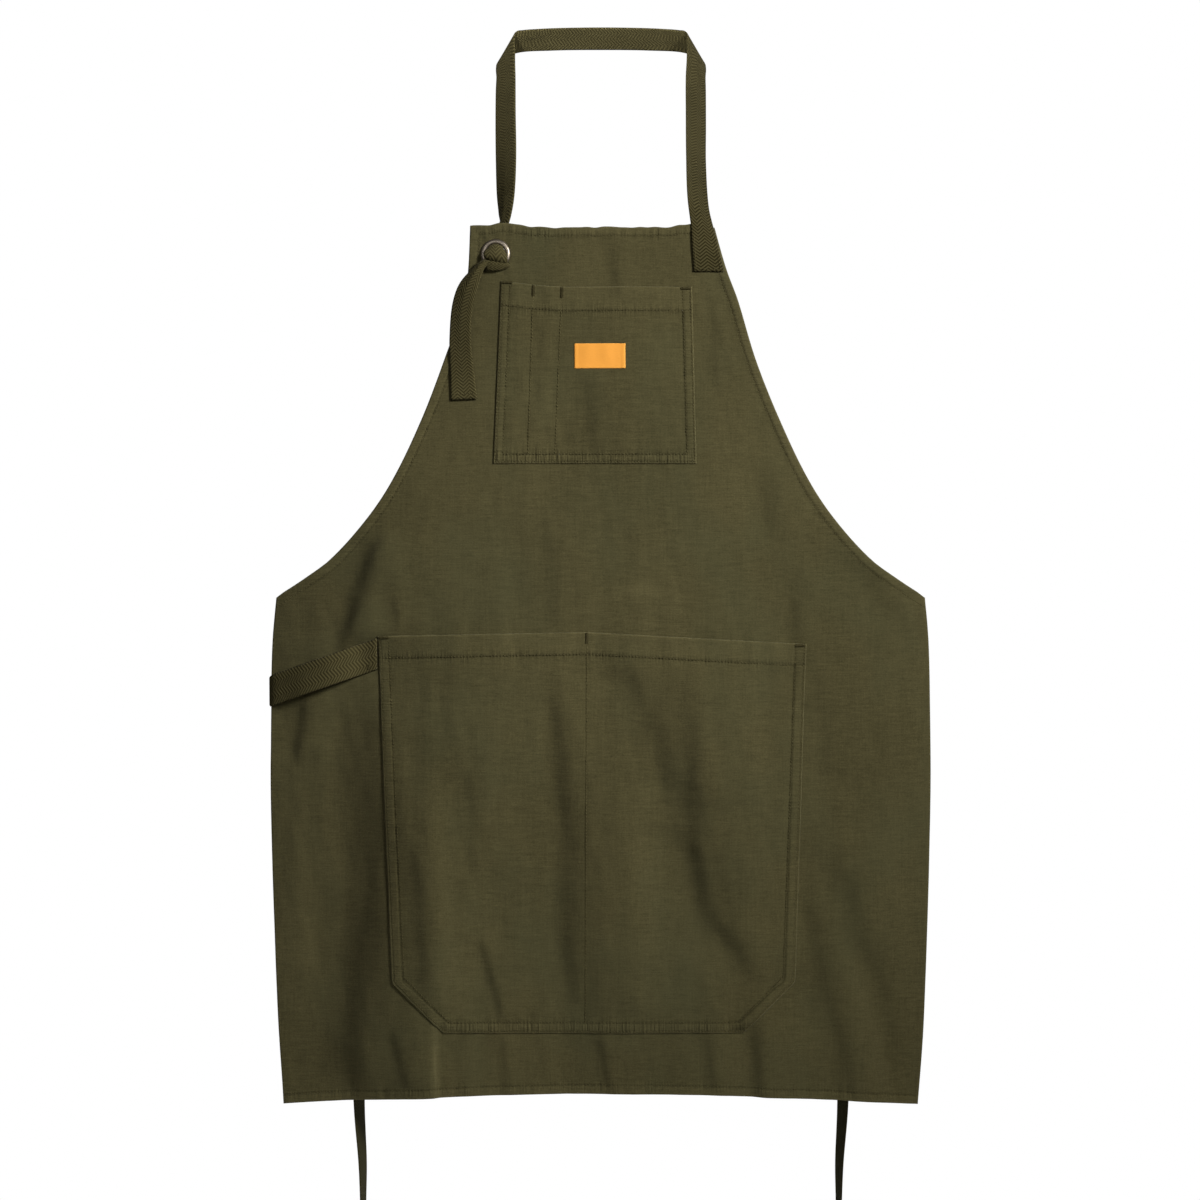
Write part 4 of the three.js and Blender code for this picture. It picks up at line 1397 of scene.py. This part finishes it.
def webbing_material(name, light, dark):
    """Herringbone: slanted ribs that turn back at each column."""
    made, tree, principled = shader(name, Roughness=0.95, Specular_IOR_Level=0.04, Sheen_Weight=0.02)
    place = object_place(tree)
    axes = axes_of(tree, tape_place(tree))
    turn = calc(tree, "PINGPONG", axes["X"], CHEVRON.column)
    slanted = calc(tree, "MULTIPLY_ADD", turn, CHEVRON.slope, axes["Y"])
    rib = calc(tree, "PINGPONG", slanted, CHEVRON.pitch / 2)
    rib = calc(tree, "MULTIPLY_ADD", rib, 4 / CHEVRON.pitch, -1.0)
    grain = noise(tree, place, (700, 700, 700))
    cloud = noise(tree, place, (24, 24, 18))
    # tone brings the tape's painted light and painted shade, and its lighter rims.
    terms = [(rib, 0, 0.3), (grain, 0.5, 0.15), (cloud, 0.5, 0.3), (painted(tree, "tone"), 0, 0.24)]
    colour = blend(tree, weighted(tree, 0.45, *terms), dark, light)
    height = weighted(tree, rib, (grain, 0.5, 0.15))
    plug(tree, principled, Base_Color=colour, Normal=bump_normal(tree, height, 0.2))
    return made


THREAD_DARK = (0.014, 0.0115, 0.004, 1)
THREAD_LIGHT = (0.118, 0.100, 0.042, 1)


def thread_material():
    made, tree, principled = shader("olive_thread", Roughness=0.85, Specular_IOR_Level=0.08)
    grain = noise(tree, object_place(tree), (1500, 1500, 1500), 1.0)
    factor = weighted(tree, 0.55, (painted(tree, "tone"), 0, 0.5), (grain, 0.5, 0.6))
    colour = blend(tree, factor, THREAD_DARK, THREAD_LIGHT)
    plug(tree, principled, Base_Color=colour, Normal=bump_normal(tree, grain, 0.1, 0.5))
    return made


LABEL_DARK = (0.56, 0.150, 0.012, 1)
LABEL_LIGHT = (1.0, 0.42, 0.055, 1)
LABEL_RIB = 0.7


def label_material():
    """Close satin weave with fine cross ribs."""
    made, tree, principled = shader("orange_label", Roughness=0.62, Specular_IOR_Level=0.3, Sheen_Weight=0.15)
    along = tape_place(tree)
    rib = wave(tree, axes_of(tree, along)["Y"], LABEL_RIB)
    fibre = noise(tree, along, (300, 1400, 1))
    cloud = noise(tree, along, (60, 60, 1))
    terms = [(rib, 0, 0.05), (fibre, 0.5, 0.25), (cloud, 0.5, 0.16), (painted(tree, "tone"), 0, 0.2)]
    colour = blend(tree, weighted(tree, 0.93, *terms), LABEL_DARK, LABEL_LIGHT)
    height = weighted(tree, rib, (fibre, 0.5, 1.0))
    plug(tree, principled, Base_Color=colour, Normal=bump_normal(tree, height, 0.08, 0.5))
    return made


NICKEL_DARK = (0.17, 0.14, 0.105, 1)
NICKEL_LIGHT = (0.40, 0.345, 0.275, 1)


def nickel_material():
    """Worn satin metal: cloudy tarnish and fine scratches."""
    made, tree, principled = shader("worn_nickel", Metallic=1.0)
    place = object_place(tree)
    cloud = noise(tree, place, (260, 260, 260), 4.0)
    scratch = noise(tree, place, (2600, 400, 400))
    factor = weighted(tree, 0.62, (cloud, 0.5, 1.1), (scratch, 0.5, 0.4))
    colour = blend(tree, factor, NICKEL_DARK, NICKEL_LIGHT)
    rough = weighted(tree, 0.46, (cloud, 0.5, -0.25), (scratch, 0.5, 0.2))
    scratched = bump_normal(tree, scratch, 0.04, 0.4)
    plug(tree, principled, Base_Color=colour, Roughness=rough, Normal=scratched)
    return made


# Stitching on the body and the webbing


def body_stitching(material):
    rows = [stitch_row(off_cloth(BODY_THREAD_SUNK), line) for line in hem_lines()]
    return add_piece("apron_body_stitching", joined(rows), material)


def back_stitching(material):
    """Threads on the body's back: along its hems, and where the pockets are sewn on."""
    rows = [stitch_row(off_cloth(HEM_THICK), line, behind=True) for line in hem_lines()]
    for pocket in (CHEST_POCKET, FRONT_POCKET):
        lines = pocket_lines(pocket)
        rows += [stitch_row(off_cloth(CANVAS), line, behind=True) for line in lines[:2] + lines[3:]]
    return add_piece("apron_back_stitching", joined(rows), material)


# Sewn lines on the webbing as corners of (x, z), and how far behind the cloth's front each of them lies
STRAP_LINE = [(93, -213), (95, -247.5), (119.5, -247.5), (112, -213)]
STRAP_LINE_DEPTH = 0.1 - SEWN_LIFT - WEBBING_THICK / 2
TAIL_LINE = [(-148.5, -372.5), (-126, -371.5)]
TAIL_EDGES = table("x y", (-150, -102.85), (-123.5, -104.8))
LOOP_BARS = [((-226, -622), (-233, -647)), ((-239, -626.3), (-246, -651.3))]
LOOP_BAR_DEPTH = -3.0
LOOP_LINE = [(-303, -658), (-303, -683), (-318, -683), (-318, -658), (-303, -658)]
LOOP_LINE_DEPTH = 4.6
TIE_LINES = [
    [(291, -583), (315, -583), (315, -603), (291, -603), (291, -583), (315, -603)],
    [(315, -583), (291, -603)],
]
TIE_LINE_DEPTH = 4.1


def tail_top(x, z):
    return np.interp(x, TAIL_EDGES.x, TAIL_EDGES.y) - WEBBING_THICK / 2


def webbing_stitching(material):
    """Threads that hold the strap's end, the tail's hem, the loop's two ends and the ties."""
    rows = [stitch_row(off_cloth(STRAP_LINE_DEPTH), STRAP_LINE), stitch_row(tail_top, TAIL_LINE)]
    rows += [bartack(off_cloth(LOOP_BAR_DEPTH), start, end) for start, end in LOOP_BARS]
    rows.append(stitch_row(off_cloth(LOOP_LINE_DEPTH), LOOP_LINE, behind=True))
    for side in (-1, 1):
        for line in TIE_LINES:
            corners = [(side * x, z) for x, z in line]
            rows.append(stitch_row(off_cloth(TIE_LINE_DEPTH), corners, behind=True))
    return add_piece("webbing_stitching", joined(rows), material)


# Camera, light and floor

CAMERA = Sizes(x=-1, y=-3433, z=-578, lens=100, sensor=36)
FLOOR_Z = -1400
FLOOR_HALF = 800
FLOOR_DARK = (0.78, 0.78, 0.77, 1)
FLOOR_LIGHT = (0.86, 0.86, 0.85, 1)
WHITE = (1, 1, 1, 1)
AMBIENT = 0.07
# Lights: name, place and aim in metres, size in metres, power in watts, and spread in degrees
LIGHTS = [
    ("key", (1.75, -1.9, 0.59), (-0.24, -0.1, -0.57), 0.6, 6.6, 45),
    ("fill", (-0.7, -2.6, -0.3), (0, -0.1, -0.4), 1.2, 6, 180),
    ("strap", (-1.0, -2.4, 0.3), (-0.05, -0.03, 0.12), 0.1, 0.62, 16),
    ("back", (0.6, 1.9, 0.6), (0, 0, -0.6), 1.6, 60, 180),
]


def add_camera():
    data = bpy.data.cameras.new("camera")
    data.lens = CAMERA.lens
    data.sensor_width = CAMERA.sensor
    camera = bpy.data.objects.new("camera", data)
    camera.location = (CAMERA.x * MM, CAMERA.y * MM, CAMERA.z * MM)
    camera.rotation_euler = (math.pi / 2, 0, 0)
    bpy.context.scene.collection.objects.link(camera)
    bpy.context.scene.camera = camera


def add_lights():
    for name, place, aim, size, power, spread in LIGHTS:
        data = bpy.data.lights.new(name, "AREA")
        data.energy = power
        data.size = size
        data.spread = math.radians(spread)
        lamp = bpy.data.objects.new(name, data)
        lamp.location = place
        lamp.rotation_euler = (Vector(aim) - Vector(place)).to_track_quat("-Z", "Y").to_euler()
        bpy.context.scene.collection.objects.link(lamp)


def add_world():
    """A white surround as seen, which lights the object only softly."""
    world = bpy.data.worlds.new("studio")
    world.use_nodes = True
    tree = world.node_tree
    soft = tree.nodes["Background"]
    soft.inputs["Color"].default_value = WHITE
    soft.inputs["Strength"].default_value = AMBIENT
    seen = add_node(tree, "ShaderNodeBackground", {"Color": WHITE, "Strength": 1.0})
    rays = add_node(tree, "ShaderNodeLightPath")
    inputs = {0: rays.outputs["Is Camera Ray"], 1: soft.outputs[0], 2: seen.outputs[0]}
    mixed = add_node(tree, "ShaderNodeMixShader", inputs)
    tree.links.new(mixed.outputs[0], tree.nodes["World Output"].inputs["Surface"])
    bpy.context.scene.world = world
    bpy.context.scene.view_settings.view_transform = "Standard"


def add_floor():
    half, z = FLOOR_HALF * MM, FLOOR_Z * MM
    mesh = bpy.data.meshes.new("floor")
    corners = [(-half, -half, z), (half, -half, z), (half, half, z), (-half, half, z)]
    mesh.from_pydata(corners, [], [(0, 1, 2, 3)])
    made, tree, principled = shader("pale_floor", Roughness=0.8)
    factor = noise(tree, object_place(tree), (3, 3, 3))
    plug(tree, principled, Base_Color=blend(tree, factor, FLOOR_DARK, FLOOR_LIGHT))
    mesh.materials.append(made)
    floor = bpy.data.objects.new("floor", mesh)
    bpy.context.scene.collection.objects.link(floor)


def main():
    add_camera()
    add_lights()
    add_world()
    add_floor()
    canvas = canvas_material()
    webbing = webbing_material("olive_webbing", WEB_LIGHT, WEB_DARK)
    thread = thread_material()
    shaded_tie_tape = webbing_material("shaded_tie_tape", SHADED_TIE_LIGHT, SHADED_TIE_DARK)
    waist_tie("waist_tie_left", -1, shaded_tie_tape)
    waist_tie("waist_tie_right", 1, shaded_tie_tape)
    body = apron_body(canvas)
    chest = pocket_panel("chest_pocket", CHEST_POCKET, canvas)
    front = pocket_panel("front_pocket", FRONT_POCKET, canvas)
    patch = label(label_material())
    eyelet(nickel_material())
    neck_strap(webbing)
    side_loop(webbing)
    body_threads = [body_stitching(thread), back_stitching(thread)]
    chest_threads = [pocket_stitching("chest_pocket_stitching", CHEST_POCKET, thread)]
    front_threads = [pocket_stitching("front_pocket_stitching", FRONT_POCKET, thread)]
    webbing_stitching(thread)


main()
